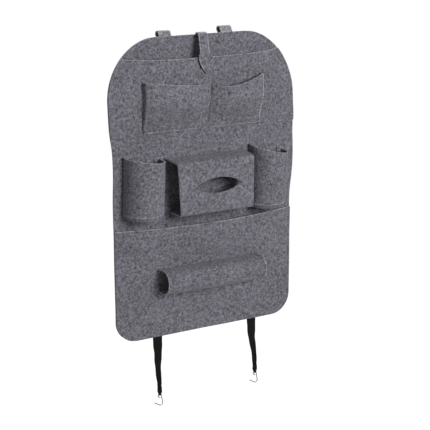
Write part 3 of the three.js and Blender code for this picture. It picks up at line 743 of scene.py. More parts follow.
# Phone pocket: a felt sheet on the book pocket, with folded side walls sewn down on the left and the
# right. A stitched divider pulls its front in and parts a wide compartment from a narrower one, and
# each compartment has a scooped mouth.
PHONE_BOTTOM = 434.0
PHONE_FULL = 500.0
PHONE_ENDS = 538.0
PHONE_SIDE = 12.0
PHONE_TUCK = 0.12
FOLD_RADIUS = 2.5
DIVIDER_X = 8.0
DIVIDER_TOP = 529.0
DIVIDER_REACH = 0.3
DIVIDER_ROUND = 1.8
SCOOP_SKEW = 0.6
DIVIDER_LEAN = 7.0
COMPARTMENTS = (
    (-1, -142.0, 4.5, 5.0, 50),
    (1, 126.0, 12.0, 11.0, 40),
)
PHONE_STEPS = (0, 1.0, 2.0, 3.0, 4.0, 5.2, 7.0)
PHONE_FOLD_SEAM = 2.0
PHONE_LIP = 0.7
PHONE_DIMPLE = 1.5
PHONE_DIMPLE_WIDTH = 2.3
PHONE_FOOT_SEAM = 3.0
PHONE_ROWS = 46
PHONE_ROWS_FROM = 9.0
PHONE_WALL_SHARES = (0.66, 0.33, 0)
PHONE_FRONT = slice(9, -9)
# Columns on the right fold that carry a painted highlight.
PHONE_RIGHT_FOLD_HIGHLIGHT = slice(-9, -7)
FAR_FROM_SEAM = 99.0
BAR_UP = 0.395
BAR_ENDS = (-30.0, 15.0)
BAR_STEPS = (-3, -2, -1, 0, 1, 2, 3)
BAR_CLEAR = 3.6
BAR_FADE = 2.0


def fold(start, corner, end, count=6):
    """Points round a fold, on a smooth curve from start to end."""
    share = np.linspace(0, 1, count + 1)[:, None]
    start, corner, end = (np.array(point, float) for point in (start, corner, end))
    return (1 - share) ** 2 * start + 2 * share * (1 - share) * corner + share ** 2 * end


def phone_columns(length, count):
    """Shares of a compartment's front, closer at the divider and at the fold."""
    near = np.array(PHONE_STEPS)
    middle = np.linspace(near[-1], length - near[-1], count)[1:-1]
    return np.concatenate([near, middle, (length - near)[::-1]]) / length


def phone_section(z):
    """(x, distance from the book pocket) of the pocket's inner face at a height, and how far each
    point is from the nearest row of stitches."""
    fullness = PHONE_TUCK + (1 - PHONE_TUCK) * float(smooth(z, PHONE_BOTTOM, PHONE_FULL))
    depth = PHONE_SIDE * fullness
    radius = min(FOLD_RADIUS, depth / 2)
    divider = DIVIDER_X - DIVIDER_LEAN * (PHONE_ENDS - z) / (PHONE_ENDS - PHONE_BOTTOM)
    halves = []
    for sign, end, _, bulge, count in COMPARTMENTS:
        length = abs(end - sign * FOLD_RADIUS - divider)
        across = phone_columns(length, count)
        x = divider + (end - sign * radius - divider) * across
        pillow = 1 - (1 - np.minimum(1, across / DIVIDER_REACH)) ** DIVIDER_ROUND
        rise = depth * pillow + fullness * bulge * np.sin(across * pi)
        seam = np.minimum(across * length, np.abs((1 - across) * length - PHONE_FOLD_SEAM))
        corner = fold((end - sign * radius, depth), (end, depth), (end, depth - radius))
        side = [(end, (depth - radius) * share) for share in PHONE_WALL_SHARES]
        points = np.concatenate([as_points(x, rise)[:-1], corner, side])
        seams = np.concatenate([seam[:-1], np.full(len(points) - len(seam) + 1, FAR_FROM_SEAM)])
        halves.append((points, seams))
    points = np.concatenate([halves[0][0][::-1], halves[1][0][1:]])
    return points, np.concatenate([halves[0][1][::-1], halves[1][1][1:]])


def phone_mouth(x):
    _, end, scoop, _, _ = COMPARTMENTS[0 if x < DIVIDER_X else 1]
    across = min(1.0, (x - DIVIDER_X) / (end - DIVIDER_X))
    return DIVIDER_TOP + (PHONE_ENDS - DIVIDER_TOP) * across - scoop * sin(pi * across ** SCOOP_SKEW)


def grid_normals(face):
    return vertex_normals(face.reshape(-1, 3), grid_faces(*face.shape[:2])).reshape(face.shape)


def offset_grid(face, distance):
    """The same grid moved along its own normals, by one distance or by one for each point."""
    return face + grid_normals(face) * np.asarray(distance, float)[..., None]


def grid_seam(face, rows, columns, lift):
    """A seam along part of a row or a column of a grid, on the sheet's outer side unless lift is 0,
    which puts it on the inner side."""
    normals = grid_normals(face)[rows, columns]
    return face[rows, columns] + normals * lift, normals if lift else -normals


def nearest(values, wanted):
    return int(np.argmin(np.abs(np.asarray(values) - wanted)))


phone_height = PHONE_ENDS - PHONE_BOTTOM
bar_rise = BAR_UP * phone_height
phone_rises = [*PHONE_STEPS, phone_height - PHONE_LIP]
phone_rises += list(np.linspace(PHONE_ROWS_FROM, phone_height, PHONE_ROWS))
phone_rises = [rise for rise in phone_rises if abs(rise - bar_rise) > BAR_CLEAR]
phone_rises += [bar_rise + step for step in BAR_STEPS]
phone_ups = np.array(sorted(phone_rises)) / phone_height
phone_face, phone_dimple = [], []
for up in phone_ups:
    section, seams = phone_section(PHONE_BOTTOM + phone_height * up)
    z = np.array([PHONE_BOTTOM + (phone_mouth(x) - PHONE_BOTTOM) * up for x in section[:, 0]])
    y = book_front(section[:, 0], z) - GAP - section[:, 1]
    phone_face.append(as_points(section[:, 0], y, z))
    from_left = smooth(section[:, 0] - BAR_ENDS[0], -BAR_FADE, BAR_FADE)
    from_right = smooth(BAR_ENDS[1] - section[:, 0], -BAR_FADE, BAR_FADE)
    foot = dimple(up * phone_height - PHONE_FOOT_SEAM, PHONE_DIMPLE, PHONE_DIMPLE_WIDTH)
    bar = dimple((up - BAR_UP) * phone_height, PHONE_DIMPLE, PHONE_DIMPLE_WIDTH)
    phone_dimple.append(np.maximum.reduce([
        dimple(seams, PHONE_DIMPLE, PHONE_DIMPLE_WIDTH),
        np.full_like(seams, foot),
        from_left * from_right * bar,
    ]))
phone_face = np.array(phone_face)
phone_dimple = np.array(phone_dimple)
# The mouth row, the foot row and the right fold carry painted highlight lines.
felt_piece(
    "felt_phone_pocket",
    offset_grid(phone_face, FELT - phone_dimple),
    phone_face,
    ["phone_pocket"],
    pale=[np.s_[0], np.s_[-1], np.s_[:, PHONE_RIGHT_FOLD_HIGHLIGHT]],
)
foot_row = nearest(phone_ups * phone_height, PHONE_FOOT_SEAM)
sewn_columns = [nearest(phone_face[-1, :, 0], DIVIDER_X)]
for sign, end, _, _, _ in COMPARTMENTS:
    sewn_columns.append(nearest(phone_face[-1, :, 0], end - sign * (FOLD_RADIUS + PHONE_FOLD_SEAM)))
on_phone = FELT - PHONE_DIMPLE
phone_seams = [grid_seam(phone_face, slice(foot_row, None), column, on_phone) for column in sewn_columns]
phone_seams.append(grid_seam(phone_face, foot_row, PHONE_FRONT, on_phone))
bar_row = nearest(phone_ups, BAR_UP)
bar_columns = slice(*(nearest(phone_face[bar_row, :, 0], end) for end in BAR_ENDS))
phone_seams.append(grid_seam(phone_face, bar_row, bar_columns, on_phone))
sew("thread_phone_pocket", phone_seams)

# Tissue sleeve: one felt strip folded out from the panel, down in front and back under, and sewn on
# by two turned-in flanges. It is open at both ends and has a lens-shaped slit in its front. It is
# sewn on a little askew.
FLANGE = 9.0
SLEEVE_FOOT = (2.5, 85.5)
SLEEVE_HEAD = (-5.0, 89.0)
SLEEVE_FLARE = 3.0
SLEEVE_BOTTOM = 264.0
SLEEVE_TOP = 377.0
SLEEVE_RISE = 4.0
SLEEVE_DEPTH = 50.0
SLIT_LENGTH = 112.0
SLIT_HEIGHT = 34.0
SLIT_X = 2.0
SLIT_Z = 323.0
SLIT_ROWS = 12
SLIT_COLUMNS = 41
SIDE_COLUMNS = 13
SLEEVE_WALL_ROWS = 10
SLEEVE_RIM = 0.0006
FLANGE_SEAM = 4.5
SHUT = 1e-6


def sleeve_route(slit_low, slit_high):
    """(height, distance from the panel) of the strip's inner side, and the row below the slit. The
    slit's two edges are the rows on either side of it."""
    bottom = SLEEVE_BOTTOM + FELT
    front_top = SLEEVE_TOP - FELT
    back_top = front_top + SLEEVE_RISE
    front = SLEEVE_DEPTH - FELT
    route = np.array([
        (bottom + FLANGE, FELT),
        (bottom, FELT),
        (bottom, front),
        (front_top, front),
        (back_top, FELT),
        (back_top - FLANGE, FELT),
    ])
    points = [route[0][None], (route[0] + (FLANGE_SEAM - FLANGE, 0))[None]]
    for k in range(1, len(route) - 1):
        before, after = (route[j] - route[k] for j in (k - 1, k + 1))
        start = route[k] + before / np.linalg.norm(before) * FOLD_RADIUS
        end = route[k] + after / np.linalg.norm(after) * FOLD_RADIUS
        points.append(fold(start, route[k], end))
        if k == 2:
            low = np.linspace(end[0], slit_low, SLIT_ROWS)[1:]
            high = np.linspace(slit_high, front_top - FOLD_RADIUS, SLIT_ROWS)[:-1]
            row_below = sum(len(part) for part in points) + len(low) - 1
            points.append(np.array([(z, front) for z in (*low, *high)]))
        elif k in (1, 3):
            shares = np.linspace(0, 1, SLEEVE_WALL_ROWS)[1:-1, None]
            points.append(route[k] + (route[k + 1] - route[k]) * shares)
    points += [(route[-1] + (FLANGE - FLANGE_SEAM, 0))[None], route[-1][None]]
    return np.concatenate(points), row_below


def slit_half_height(x):
    """Half the height of the lens at x, which two arcs enclose."""
    radius = (SLIT_LENGTH ** 2 + SLIT_HEIGHT ** 2) / 4 / SLIT_HEIGHT
    return max(0.0, sqrt(radius ** 2 - (x - SLIT_X) ** 2) - (radius - SLIT_HEIGHT / 2))


def sleeve_column(x, side_share, side):
    """One column of the strip. It runs at x beside the slit, and leans out to the strip's tapered
    edge by side_share."""
    half_height = slit_half_height(x)
    route, row_below = sleeve_route(SLIT_Z - half_height, SLIT_Z + half_height)
    z, out = route.T
    up = (z - SLEEVE_BOTTOM) / (SLEEVE_TOP - SLEEVE_BOTTOM)
    flare = SLEEVE_FLARE * (1 - out / SLEEVE_DEPTH)
    centre = SLEEVE_FOOT[0] + (SLEEVE_HEAD[0] - SLEEVE_FOOT[0]) * up
    half = SLEEVE_FOOT[1] + (SLEEVE_HEAD[1] - SLEEVE_FOOT[1]) * up + flare
    across = x + (centre + side * half - x) * side_share
    return as_points(across, panel_front(across, z) - GAP - out, z), row_below, half_height


def weld_shut(faces, columns, row, half_heights):
    """The faces with the two rows beside the slit joined wherever the slit is shut."""
    joined = {
        (row + 1) * columns + column: row * columns + column
        for column, half_height in enumerate(half_heights)
        if half_height < SHUT
    }
    return np.array([[joined.get(int(k), int(k)) for k in quad] for quad in faces])


slit_ends = (SLIT_X - SLIT_LENGTH / 2, SLIT_X + SLIT_LENGTH / 2)
side_shares = np.linspace(1, 0, SIDE_COLUMNS + 1)[:-1]
sleeve_columns = [sleeve_column(slit_ends[0], share, -1) for share in side_shares]
sleeve_columns += [
    sleeve_column(SLIT_X + SLIT_LENGTH / 2 * sin(turn), 0.0, 1)
    for turn in np.linspace(-pi / 2, pi / 2, SLIT_COLUMNS)
]
sleeve_columns += [sleeve_column(slit_ends[1], share, 1) for share in side_shares[::-1]]
sleeve_face = np.array([column for column, _, _ in sleeve_columns]).transpose(1, 0, 2)
slit_row = sleeve_columns[0][1]
sleeve_keep = np.ones((sleeve_face.shape[0] - 1, sleeve_face.shape[1] - 1), bool)
sleeve_keep[slit_row] = False
sleeve_faces = weld_shut(
    grid_faces(*sleeve_face.shape[:2], sleeve_keep),
    sleeve_face.shape[1],
    slit_row,
    [half_height for _, _, half_height in sleeve_columns],
)
sleeve_points, sleeve_solid, sleeve_marks = sheet_solid(
    offset_grid(sleeve_face, FELT).reshape(-1, 3), sleeve_faces, sleeve_face.reshape(-1, 3)
)
used = sorted({k for quad in sleeve_solid for k in quad})
renumber = {k: n for n, k in enumerate(used)}
sleeve_solid = [tuple(renumber[k] for k in quad) for quad in sleeve_solid]
sleeve = add_piece("felt_tissue_sleeve", sleeve_points[used], sleeve_solid, [felt, felt_cut_and_highlight], sleeve_marks)
soften_rim(sleeve, SLEEVE_RIM)
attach(sleeve, "root")
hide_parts("tissue_sleeve")


def through_panel(track):
    """The same seam where it comes out behind the panel."""
    behind = np.array(track, float)
    behind[:, 1] = panel_front(behind[:, 0], behind[:, 2]) + FELT
    return behind, BACKWARD


sleeve_seams = []
for row in (1, len(sleeve_face) - 2):
    track, facing = grid_seam(sleeve_face, row, slice(2, -2), 0.0)
    sleeve_seams += [(track, facing), through_panel(track)]
sew("thread_tissue_sleeve", sleeve_seams)

# Cup pockets: two bowed felt walls, each sewn to the panel by turned-in flanges, with the lower hem
# curled in and a felt base lying on the hem. The rims fall to the right and sag in front.
CUP_SIDES = (
    ("left", -151.0, 264.0, 387.0, 5.5, 1.0),
    ("right", 141.0, 253.0, 382.0, 8.5, 5.0),
)
CUP_HALF = 41.0
CUP_DEPTH = 57.0
CUP_CURL = 8.0
CUP_BASE_INSET = 4.0
CUP_HEM = 5.0
CUP_HEM_STEPS = (0.7, 1.4, 2.2, 3.0, 4.0, 5.0, 6.0, 7.2, 8.6)
CUP_LIP = 0.5
CUP_LIP_WIDTH = 1.4
# Height either side of the hem lip that carries a painted highlight.
CUP_LIP_HIGHLIGHT = 0.5
CUP_RIM_EDGE = 1.0
CUP_TURNS = 48
CUP_CURL_ROWS = 9
CUP_WALL_ROWS = (0.1, 1, 40)
CUP_HEM_SEAM = slice(8, -8)
CUP_SIDE_SEAM = slice(10, -1)
CUP_BASE_GRID = (25, 41)
CUP_BASE_ENDS = 0.999


def bow_section(half, depth, turns):
    """Half-round section of a strip on two turned-in flanges: (aside, distance from its carrier)."""

    def turn_in(sign):
        return fold(
            (sign * (half - FOLD_RADIUS), FELT),
            (sign * half, FELT),
            (sign * half, FELT + FOLD_RADIUS),
        )

    angles = np.linspace(0, pi, turns + 1)
    bow = as_points(-half * np.cos(angles), depth - half + half * np.sin(angles))
    flange = [[(sign * (half - inset), FELT) for inset in (FLANGE, FLANGE_SEAM)] for sign in (-1, 1)]
    return np.concatenate([flange[0], turn_in(-1), bow, turn_in(1)[::-1], flange[1][::-1]])


for side, middle, bottom, top, tilt, sag in CUP_SIDES:
    wall_half = CUP_HALF - FELT
    wall_depth = CUP_DEPTH - FELT
    foot = bottom + FELT + CUP_CURL
    levels = [
        (CUP_CURL * (1 - sin(turn)), -CUP_CURL * cos(turn), 0.0)
        for turn in np.linspace(0, pi / 2, CUP_CURL_ROWS)
    ]
    hem_steps = np.array(CUP_HEM_STEPS) / (top - foot)
    levels += [(0.0, 0.0, share) for share in (*hem_steps, *np.linspace(*CUP_WALL_ROWS))]
    levels.insert(-1, (0.0, 0.0, 1 - CUP_RIM_EDGE / (top - foot)))
    wall = []
    for inset, rise, share in levels:
        section = bow_section(wall_half - inset, wall_depth - inset, CUP_TURNS)
        rim = top - tilt * section[:, 0] / wall_half - sag * section[:, 1] / wall_depth
        z = foot + (rim - foot) * share + rise
        x = middle + section[:, 0]
        wall.append(as_points(x, panel_front(x, z) - GAP - section[:, 1], z))
    wall = np.array(wall)
    hem_heights = np.array([rise + share * (top - foot) for _, rise, share in levels])
    hem_relief = CUP_LIP * np.exp(-((hem_heights / CUP_LIP_WIDTH) ** 2)) - dimple(hem_heights - CUP_HEM)
    hem_relief = np.repeat(hem_relief[:, None], wall.shape[1], axis=1)
    # The rows on the hem lip and the top rim row carry painted highlight lines.
    felt_piece(
        f"felt_cup_pocket_{side}",
        offset_grid(wall, FELT + hem_relief),
        wall,
        [f"cup_pocket_{side}"],
        pale=[*np.flatnonzero(np.abs(hem_heights) < CUP_LIP_HIGHLIGHT), -1],
    )
    cup_seams = [grid_seam(wall, nearest(hem_heights, CUP_HEM), CUP_HEM_SEAM, FELT - SEAM_DIMPLE)]
    for column in (1, wall.shape[1] - 2):
        track, facing = grid_seam(wall, CUP_SIDE_SEAM, column, 0.0)
        cup_seams += [(track, facing), through_panel(track)]
    sew(f"thread_cup_pocket_{side}", cup_seams)

    radius = wall_half - CUP_BASE_INSET
    seat = CUP_CURL - sqrt(CUP_CURL ** 2 - (CUP_CURL - CUP_BASE_INSET) ** 2)
    base_z = bottom + FELT + seat + LAID_GAP
    rear = FELT + 2 * GAP
    base_rows, base_columns = CUP_BASE_GRID
    across = np.linspace(-radius, radius, base_columns) * CUP_BASE_ENDS
    reach = np.sqrt(radius ** 2 - across ** 2) + wall_depth - wall_half
    shares = np.linspace(1, 0, base_rows)[:, None]
    base_y = float(panel_front(middle, base_z)) - GAP - rear - shares * (reach - rear)[None, :]
    lower = as_points(middle + across, base_y, base_z)
    felt_piece(
        f"felt_cup_base_{side}",
        lower + np.array((0, 0, FELT)),
        lower,
        [f"cup_base_{side}"],
    )

# Roll band: a felt strip across the magazine pocket, bowed out between two turned-in flanges that are
# sewn down, so that it stays open at both ends.
BAND_HALF_LENGTH = 117.0
BAND_Z = 126.0
BAND_HALF = 26.0
BAND_DEPTH = 48.0
BAND_SEAM = 8.0
BAND_DIMPLE = 1.5
BAND_DIMPLE_WIDTH = 2.0
BAND_STEPS = (0, 0.8, 1.6, 2.4, 3.2, 4.6, 6.0, 7.0, 8.0, 9.0, 10.0, 11.4)
BAND_MIDDLE_FROM = 14
BAND_MIDDLE_COLUMNS = 52
BAND_TURNS = 40
BAND_SEAM_SPAN = slice(4, -4)

band_steps = np.array(BAND_STEPS)
band_middle = BAND_HALF_LENGTH - BAND_MIDDLE_FROM
band_x = np.concatenate([
    band_steps - BAND_HALF_LENGTH,
    np.linspace(-band_middle, band_middle, BAND_MIDDLE_COLUMNS),
    (BAND_HALF_LENGTH - band_steps)[::-1],
])
band_face = []
for aside, out in bow_section(BAND_HALF - FELT, BAND_DEPTH - FELT, BAND_TURNS):
    z = np.full_like(band_x, BAND_Z + aside)
    band_face.append(as_points(band_x, magazine_front(band_x, z) - GAP - out, z))
band_face = np.array(band_face)
band_dimple = dimple(BAND_HALF_LENGTH - np.abs(band_x) - BAND_SEAM, BAND_DIMPLE, BAND_DIMPLE_WIDTH)
band_dimple = np.repeat(band_dimple[None], len(band_face), axis=0)
# The end columns of the outer side carry painted highlight lines.
felt_piece(
    "felt_roll_band",
    offset_grid(band_face, FELT - band_dimple),
    band_face,
    ["roll_band"],
    pale=[np.s_[:, 0], np.s_[:, -3:]],
)
band_seams = []
for end in (-1, 1):
    column = nearest(band_x, end * (BAND_HALF_LENGTH - BAND_SEAM))
    band_seams.append(grid_seam(band_face, BAND_SEAM_SPAN, column, FELT - BAND_DIMPLE))
for row in (1, len(band_face) - 2):
    band_seams.append(grid_seam(band_face, row, BAND_SEAM_SPAN, 0.0))
sew("thread_roll_band", band_seams)

# Closure strap: a narrow felt strap that is sewn behind the panel, comes over its top edge and ends
# in a leaf-shaped tongue on the book pocket. Two patches of hook and loop tape hold the tongue.
TAPE = 1.2
STRAP_WIDTH = 21.0
STRAP_FOOT_X = -0.5
STRAP_NECK_X = -7.5
STRAP_REAR_X = 1.0
STRAP_ARCH = 0.8
STRAP_CREST_Y = -2.0
STRAP_CREST_TURN = 7.0
STRAP_REAR_TURN = 1.5
STRAP_REAR_TOP = 617.0
STRAP_REAR_END = 592.0
LEAF_WIDTH = 31.0
LEAF_LENGTH = 37.0
LEAF_TIP = 547.0
LEAF_ROUND = (0.07, 0.66, 0.8)
LEAF_NECK = 3.0
# The patches reach past the tongue's lower edges, so their black tape shows there. That dark line stands
# partly for the tape and partly for painted shade under the tongue's edge.
PATCH_WIDTH = 27.4
PATCH_X = -3.5
PATCH_FOOT = 557.0
PATCH_HEAD = 578.0
PATCH_ROWS = 13
PATCH_COLUMNS = 12
LEAF_ROWS = 26
LEAF_SEAMS = (561.0, 576.0)
STRAP_COLUMNS = 24
STRAP_REAR_ROWS = 8
STRAP_SEAM_SHARE = 0.125
STRAP_SEAM_FROM = 4
ROUTE_PITCH = 3.0
TAPE_TONE = (0.012, 0.012, 0.013)
TAPE_PALE = (0.06, 0.06, 0.062)
TAPE_RIM = 0.0003
LOOP_SCALE = 900.0
FUZZ_SCALE = 2400.0


def strip(centres, route, widths, columns):
    """Inner side of a flat strip that runs along a route of (y, z) points. Its middle and its width
    are one number each, or one for each point of the route."""
    across = np.linspace(-0.5, 0.5, columns + 1)
    route = np.asarray(route, float)
    centres, widths = (np.broadcast_to(part, len(route))[:, None] for part in (centres, widths))
    return as_points(centres + widths * across, route[:, :1], route[:, 1:])


def resample(points, pitch):
    """The same polyline with extra points, none further apart than pitch."""
    points = np.asarray(points, float)
    found = [points[0]]
    for start, end in zip(points[:-1], points[1:]):
        count = max(1, int(np.ceil(np.linalg.norm(end - start) / pitch)))
        found += [start + (end - start) * k / count for k in range(1, count + 1)]
    return np.array(found)


def tape_nap():
    """Short black loops and hooks, as a fine even stipple."""
    group, inside, outside = new_group(
        "tape_nap",
        [("Tone", "NodeSocketColor", (*TAPE_TONE, 1)), ("Loop Size", "NodeSocketFloat", LOOP_SCALE)],
        [("Colour", "NodeSocketColor"), ("Nap", "NodeSocketFloat")],
    )
    place = add_node(group, "ShaderNodeTexCoord").outputs["Object"]
    loops = add_node(group, "ShaderNodeTexVoronoi")
    group.links.new(place, loops.inputs["Vector"])
    group.links.new(inside.outputs["Loop Size"], loops.inputs["Scale"])
    fuzz = remap(group, noise(group, place, FUZZ_SCALE, 2.0), 0.5, 0.8, 0, 0.6)
    colour = blend_colour(group, fuzz, inside.outputs["Tone"], (*TAPE_PALE, 1))
    group.links.new(colour, outside.inputs["Colour"])
    group.links.new(combine(group, "SUBTRACT", 1.0, loops.outputs["Distance"]), outside.inputs["Nap"])
    return group


tape = cloth_material(
    "black_hook_and_loop",
    tape_nap(),
    {"Tone": (*TAPE_TONE, 1)},
    roughness=0.9,
    sheen=0.1,
    bump=0.8,
    relief=0.0006,
)


def tape_piece(name, face, other, node):
    points, solid, _ = grid_solid(face, other)
    piece = add_piece(name, points, solid, [tape])
    soften_rim(piece, TAPE_RIM)
    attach(piece, "root")
    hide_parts(node)


stand_off = 3 * GAP + 2 * TAPE
mouth_z = BOOK_MOUTH - BOOK_SAG
leaf_top = LEAF_TIP + LEAF_LENGTH
leaf_z = np.linspace(LEAF_TIP, leaf_top, LEAF_ROWS)
leaf_route = [(float(book_front(STRAP_NECK_X, min(z, mouth_z))) - stand_off, z) for z in leaf_z]
neck = np.array((float(book_front(STRAP_NECK_X, mouth_z)) - stand_off, leaf_top + LEAF_NECK))
crest_z = PANEL_TOP + GAP + STRAP_ARCH
crest = np.array((STRAP_CREST_Y, crest_z))
rear_y = float(panel_front(STRAP_REAR_X, PANEL_TOP)) + FELT + LAID_GAP
to_neck = (neck - crest) / np.linalg.norm(neck - crest)
strap_route = [
    neck,
    *fold(crest + to_neck * STRAP_CREST_TURN, crest, crest + np.array((STRAP_CREST_TURN, 0)), 10),
    *fold((rear_y - STRAP_REAR_TURN, crest_z), (rear_y, crest_z), (rear_y, crest_z - STRAP_REAR_TURN)),
]
strap_route += [
    (float(panel_front(STRAP_REAR_X, z)) + FELT + LAID_GAP, z)
    for z in np.linspace(STRAP_REAR_TOP, STRAP_REAR_END, STRAP_REAR_ROWS)
]
strap_route = resample(strap_route, ROUTE_PITCH)
to_rear = smooth(strap_route[:, 0], neck[0], rear_y)
strap_centres = STRAP_NECK_X + (STRAP_REAR_X - STRAP_NECK_X) * to_rear
leaf_share = np.linspace(0, 1, len(leaf_z))
leaf_turn = LEAF_ROUND[0] + (LEAF_ROUND[1] - LEAF_ROUND[0]) * leaf_share
leaf_widths = LEAF_WIDTH * np.sin(leaf_turn * pi) ** LEAF_ROUND[2]
strap_face = strip(
    np.concatenate([STRAP_FOOT_X + (STRAP_NECK_X - STRAP_FOOT_X) * leaf_share, strap_centres]),
    np.concatenate([leaf_route, strap_route]),
    np.concatenate([leaf_widths, np.full(len(strap_route), STRAP_WIDTH)]),
    STRAP_COLUMNS,
)
strap_share = np.linspace(0, 1, STRAP_COLUMNS + 1)
strap_dimple = dimple((np.minimum(strap_share, 1 - strap_share) - STRAP_SEAM_SHARE) * STRAP_WIDTH)
strap_dimple = np.repeat(strap_dimple[None], len(strap_face), axis=0)
# The outer columns along both edges of the strap carry painted highlight lines.
felt_piece(
    "felt_closure_strap",
    offset_grid(strap_face, FELT - strap_dimple),
    strap_face,
    ["closure_strap"],
    pale=[np.s_[:, :2], np.s_[len(leaf_z):, -2:]],
)
side_column = round(STRAP_SEAM_SHARE * STRAP_COLUMNS)
strap_lines = [(slice(STRAP_SEAM_FROM, None), column) for column in (side_column, -1 - side_column)]
strap_lines += [(nearest(leaf_z, z), slice(side_column, -side_column)) for z in LEAF_SEAMS]
strap_seams = [grid_seam(strap_face, rows, columns, FELT - SEAM_DIMPLE) for rows, columns in strap_lines]
sew("thread_closure_strap", strap_seams)
for patch_name, node, off in (
    ("loop_patch", "closure_loop_patch", GAP),
    ("hook_patch", "closure_hook_patch", 2 * GAP + TAPE),
):
    patch_z = np.linspace(PATCH_FOOT, PATCH_HEAD, PATCH_ROWS)
    patch_route = [(float(book_front(PATCH_X, z)) - off, z) for z in patch_z]
    patch = strip(PATCH_X, patch_route, PATCH_WIDTH, PATCH_COLUMNS)
    tape_piece(patch_name, offset_grid(patch, TAPE), patch, node)

# Headrest loops: two felt strips sewn behind the panel's top edge. Each turns back over the headrest
# post and closes on itself with black hook and loop tape, whose soft side lines the loop.
LOOP_SIDES = (("left", -71.3, 631.0), ("right", 71.3, 633.0))
# The loops are the same felt as the panel, painted lighter because they catch more light.
LOOP_PAINTED_LIGHT_TONE = (0.28, 0.276, 0.305)
LOOP_WIDTH = 27.5
LOOP_ROOT = 578.0
LOOP_SHUT = 604.0
LOOP_INSIDE = 10.0
LOOP_LEAN = 17.5
LOOP_TAPE_WIDTH = 24.0
LOOP_TAPE_INSET = 5.0
LOOP_SEAM = 3.0
LOOP_LEG_ROWS = 10
LOOP_BOW_ROWS = 19
LOOP_COLUMNS = 10
LOOP_TAPE_COLUMNS = 8
LOOP_HOOK_ROWS = 9
LINING_FROM = 13
LOOP_SEAM_POINTS = 20

# Felt painted lighter: painted light on the headrest loops, not a different felt.
felt_painted_lighter = cloth_material(
    "needle_felt_painted_lighter",
    fibres,
    {"Tone": (*LOOP_PAINTED_LIGHT_TONE, 1), "Pale Share": 0.55, "Dark Share": 0.5},
    roughness=0.95,
    sheen=0.2,
    bump=0.6,
    relief=0.0012,
)

for side, loop_x, loop_top in LOOP_SIDES:

    def on_panel(z):
        return float(panel_front(loop_x, z)) + 2 * FELT + LAID_GAP

    radius = LOOP_INSIDE / 2
    bow_z = loop_top - FELT - radius
    front_leg = on_panel(bow_z) + LOOP_LEAN
    up_leg = [(on_panel(z), z) for z in np.linspace(LOOP_ROOT, LOOP_SHUT, LOOP_LEG_ROWS)]
    over = [
        (front_leg + radius - radius * cos(turn), bow_z + radius * sin(turn))
        for turn in np.linspace(0, pi, LOOP_BOW_ROWS)
    ]
    down_leg = [(on_panel(z) + stand_off, z) for z in np.linspace(LOOP_SHUT, LOOP_ROOT, LOOP_LEG_ROWS)]
    loop_route = resample(up_leg + over + down_leg, ROUTE_PITCH)
    loop_face = strip(loop_x, loop_route, LOOP_WIDTH, LOOP_COLUMNS)
    # The side columns of the outer side carry painted highlight lines.
    felt_piece(
        f"felt_headrest_loop_{side}",
        offset_grid(loop_face, FELT),
        loop_face,
        [f"headrest_loop_{side}"],
        pale=[np.s_[:, 0], np.s_[:, -1]],
        finish=felt_painted_lighter,
    )
    box_x = np.array((-1, 1, 1, -1, -1)) * (LOOP_WIDTH / 2 - LOOP_SEAM) + loop_x
    box_z = np.array((0, 0, 1, 1, 0)) * (LOOP_SHUT - LOOP_ROOT - 2 * LOOP_SEAM) + LOOP_ROOT + LOOP_SEAM
    loop_seams = []
    for k in range(len(box_x) - 1):
        side_x = np.linspace(box_x[k], box_x[k + 1], LOOP_SEAM_POINTS)
        side_z = np.linspace(box_z[k], box_z[k + 1], LOOP_SEAM_POINTS)
        front = panel_front(side_x, side_z)
        loop_seams.append((as_points(side_x, front, side_z), FORWARD))
    sew(f"thread_headrest_loop_{side}", loop_seams)
    hook_z = np.linspace(LOOP_SHUT, LOOP_ROOT + LOOP_TAPE_INSET, LOOP_HOOK_ROWS)
    hook_route = [(on_panel(z) + GAP, z) for z in hook_z]
    hook_tape = strip(loop_x, hook_route, LOOP_TAPE_WIDTH, LOOP_TAPE_COLUMNS)
    tape_piece(
        f"loop_hook_strip_{side}",
        offset_grid(hook_tape, TAPE),
        hook_tape,
        f"loop_hook_tape_{side}",
    )
    lining = resample(over[LINING_FROM:] + down_leg, ROUTE_PITCH)
    lining_face = strip(loop_x, lining, LOOP_TAPE_WIDTH, LOOP_TAPE_COLUMNS)
    tape_piece(
        f"loop_pile_strip_{side}",
        offset_grid(lining_face, -GAP),
        offset_grid(lining_face, -GAP - TAPE),
        f"loop_pile_tape_{side}",
    )

# Elastic straps: two lengths of black woven elastic, sewn flat behind the panel's lower edge. Each
# twists and gathers into pleats as it hangs, turns through the eye of its hook and is sewn back on
# itself.
STRAP_SIDES = (("left", -1, -5.0, -132.5), ("right", 1, 12.0, -129.0))
ELASTIC = 1.2
ELASTIC_X = 115.0
ELASTIC_WIDTH = 22.0
ELASTIC_ASIDE = 2.0
ELASTIC_ROOT = 30.0
ELASTIC_TWIST = radians(14)
ELASTIC_TAIL = 14.0
ELASTIC_GATHER = (20.0, 130.0)
ELASTIC_GATHERED = 9.0
EYE_REACH = 6.5
EYE_STRAND = 4.2
EYE_TURN = 2.2
ELASTIC_SEAMS = (4.0, 7.0, 26.0)
ELASTIC_TONE = (0.006, 0.006, 0.0065)
# Painted highlight on the raised ribs of the elastic.
ELASTIC_RIB_HIGHLIGHT = (0.018, 0.018, 0.019)
ELASTIC_RIM = 0.0003
RIB_SCALE = 260.0
WARP_SCALE = 420.0
ELASTIC_COLUMNS = 24
ELASTIC_ROWS = (12, 80, 14, 13)
ELASTIC_SEAM_POINTS = 12
ELASTIC_SEAM_INSET = 2
ELASTIC_FREE = 40.0
ELASTIC_CALM = 12.0
ELASTIC_ASIDE_FADE = (5, 60)
PLEATS = 2
PLEAT_DEPTH = 0.9
PLEAT_RUN = 17.0
RUFFLE = 0.05
RUFFLE_RUN = 5.5
SWAY = 0.7
SWAY_RUN = 13.0


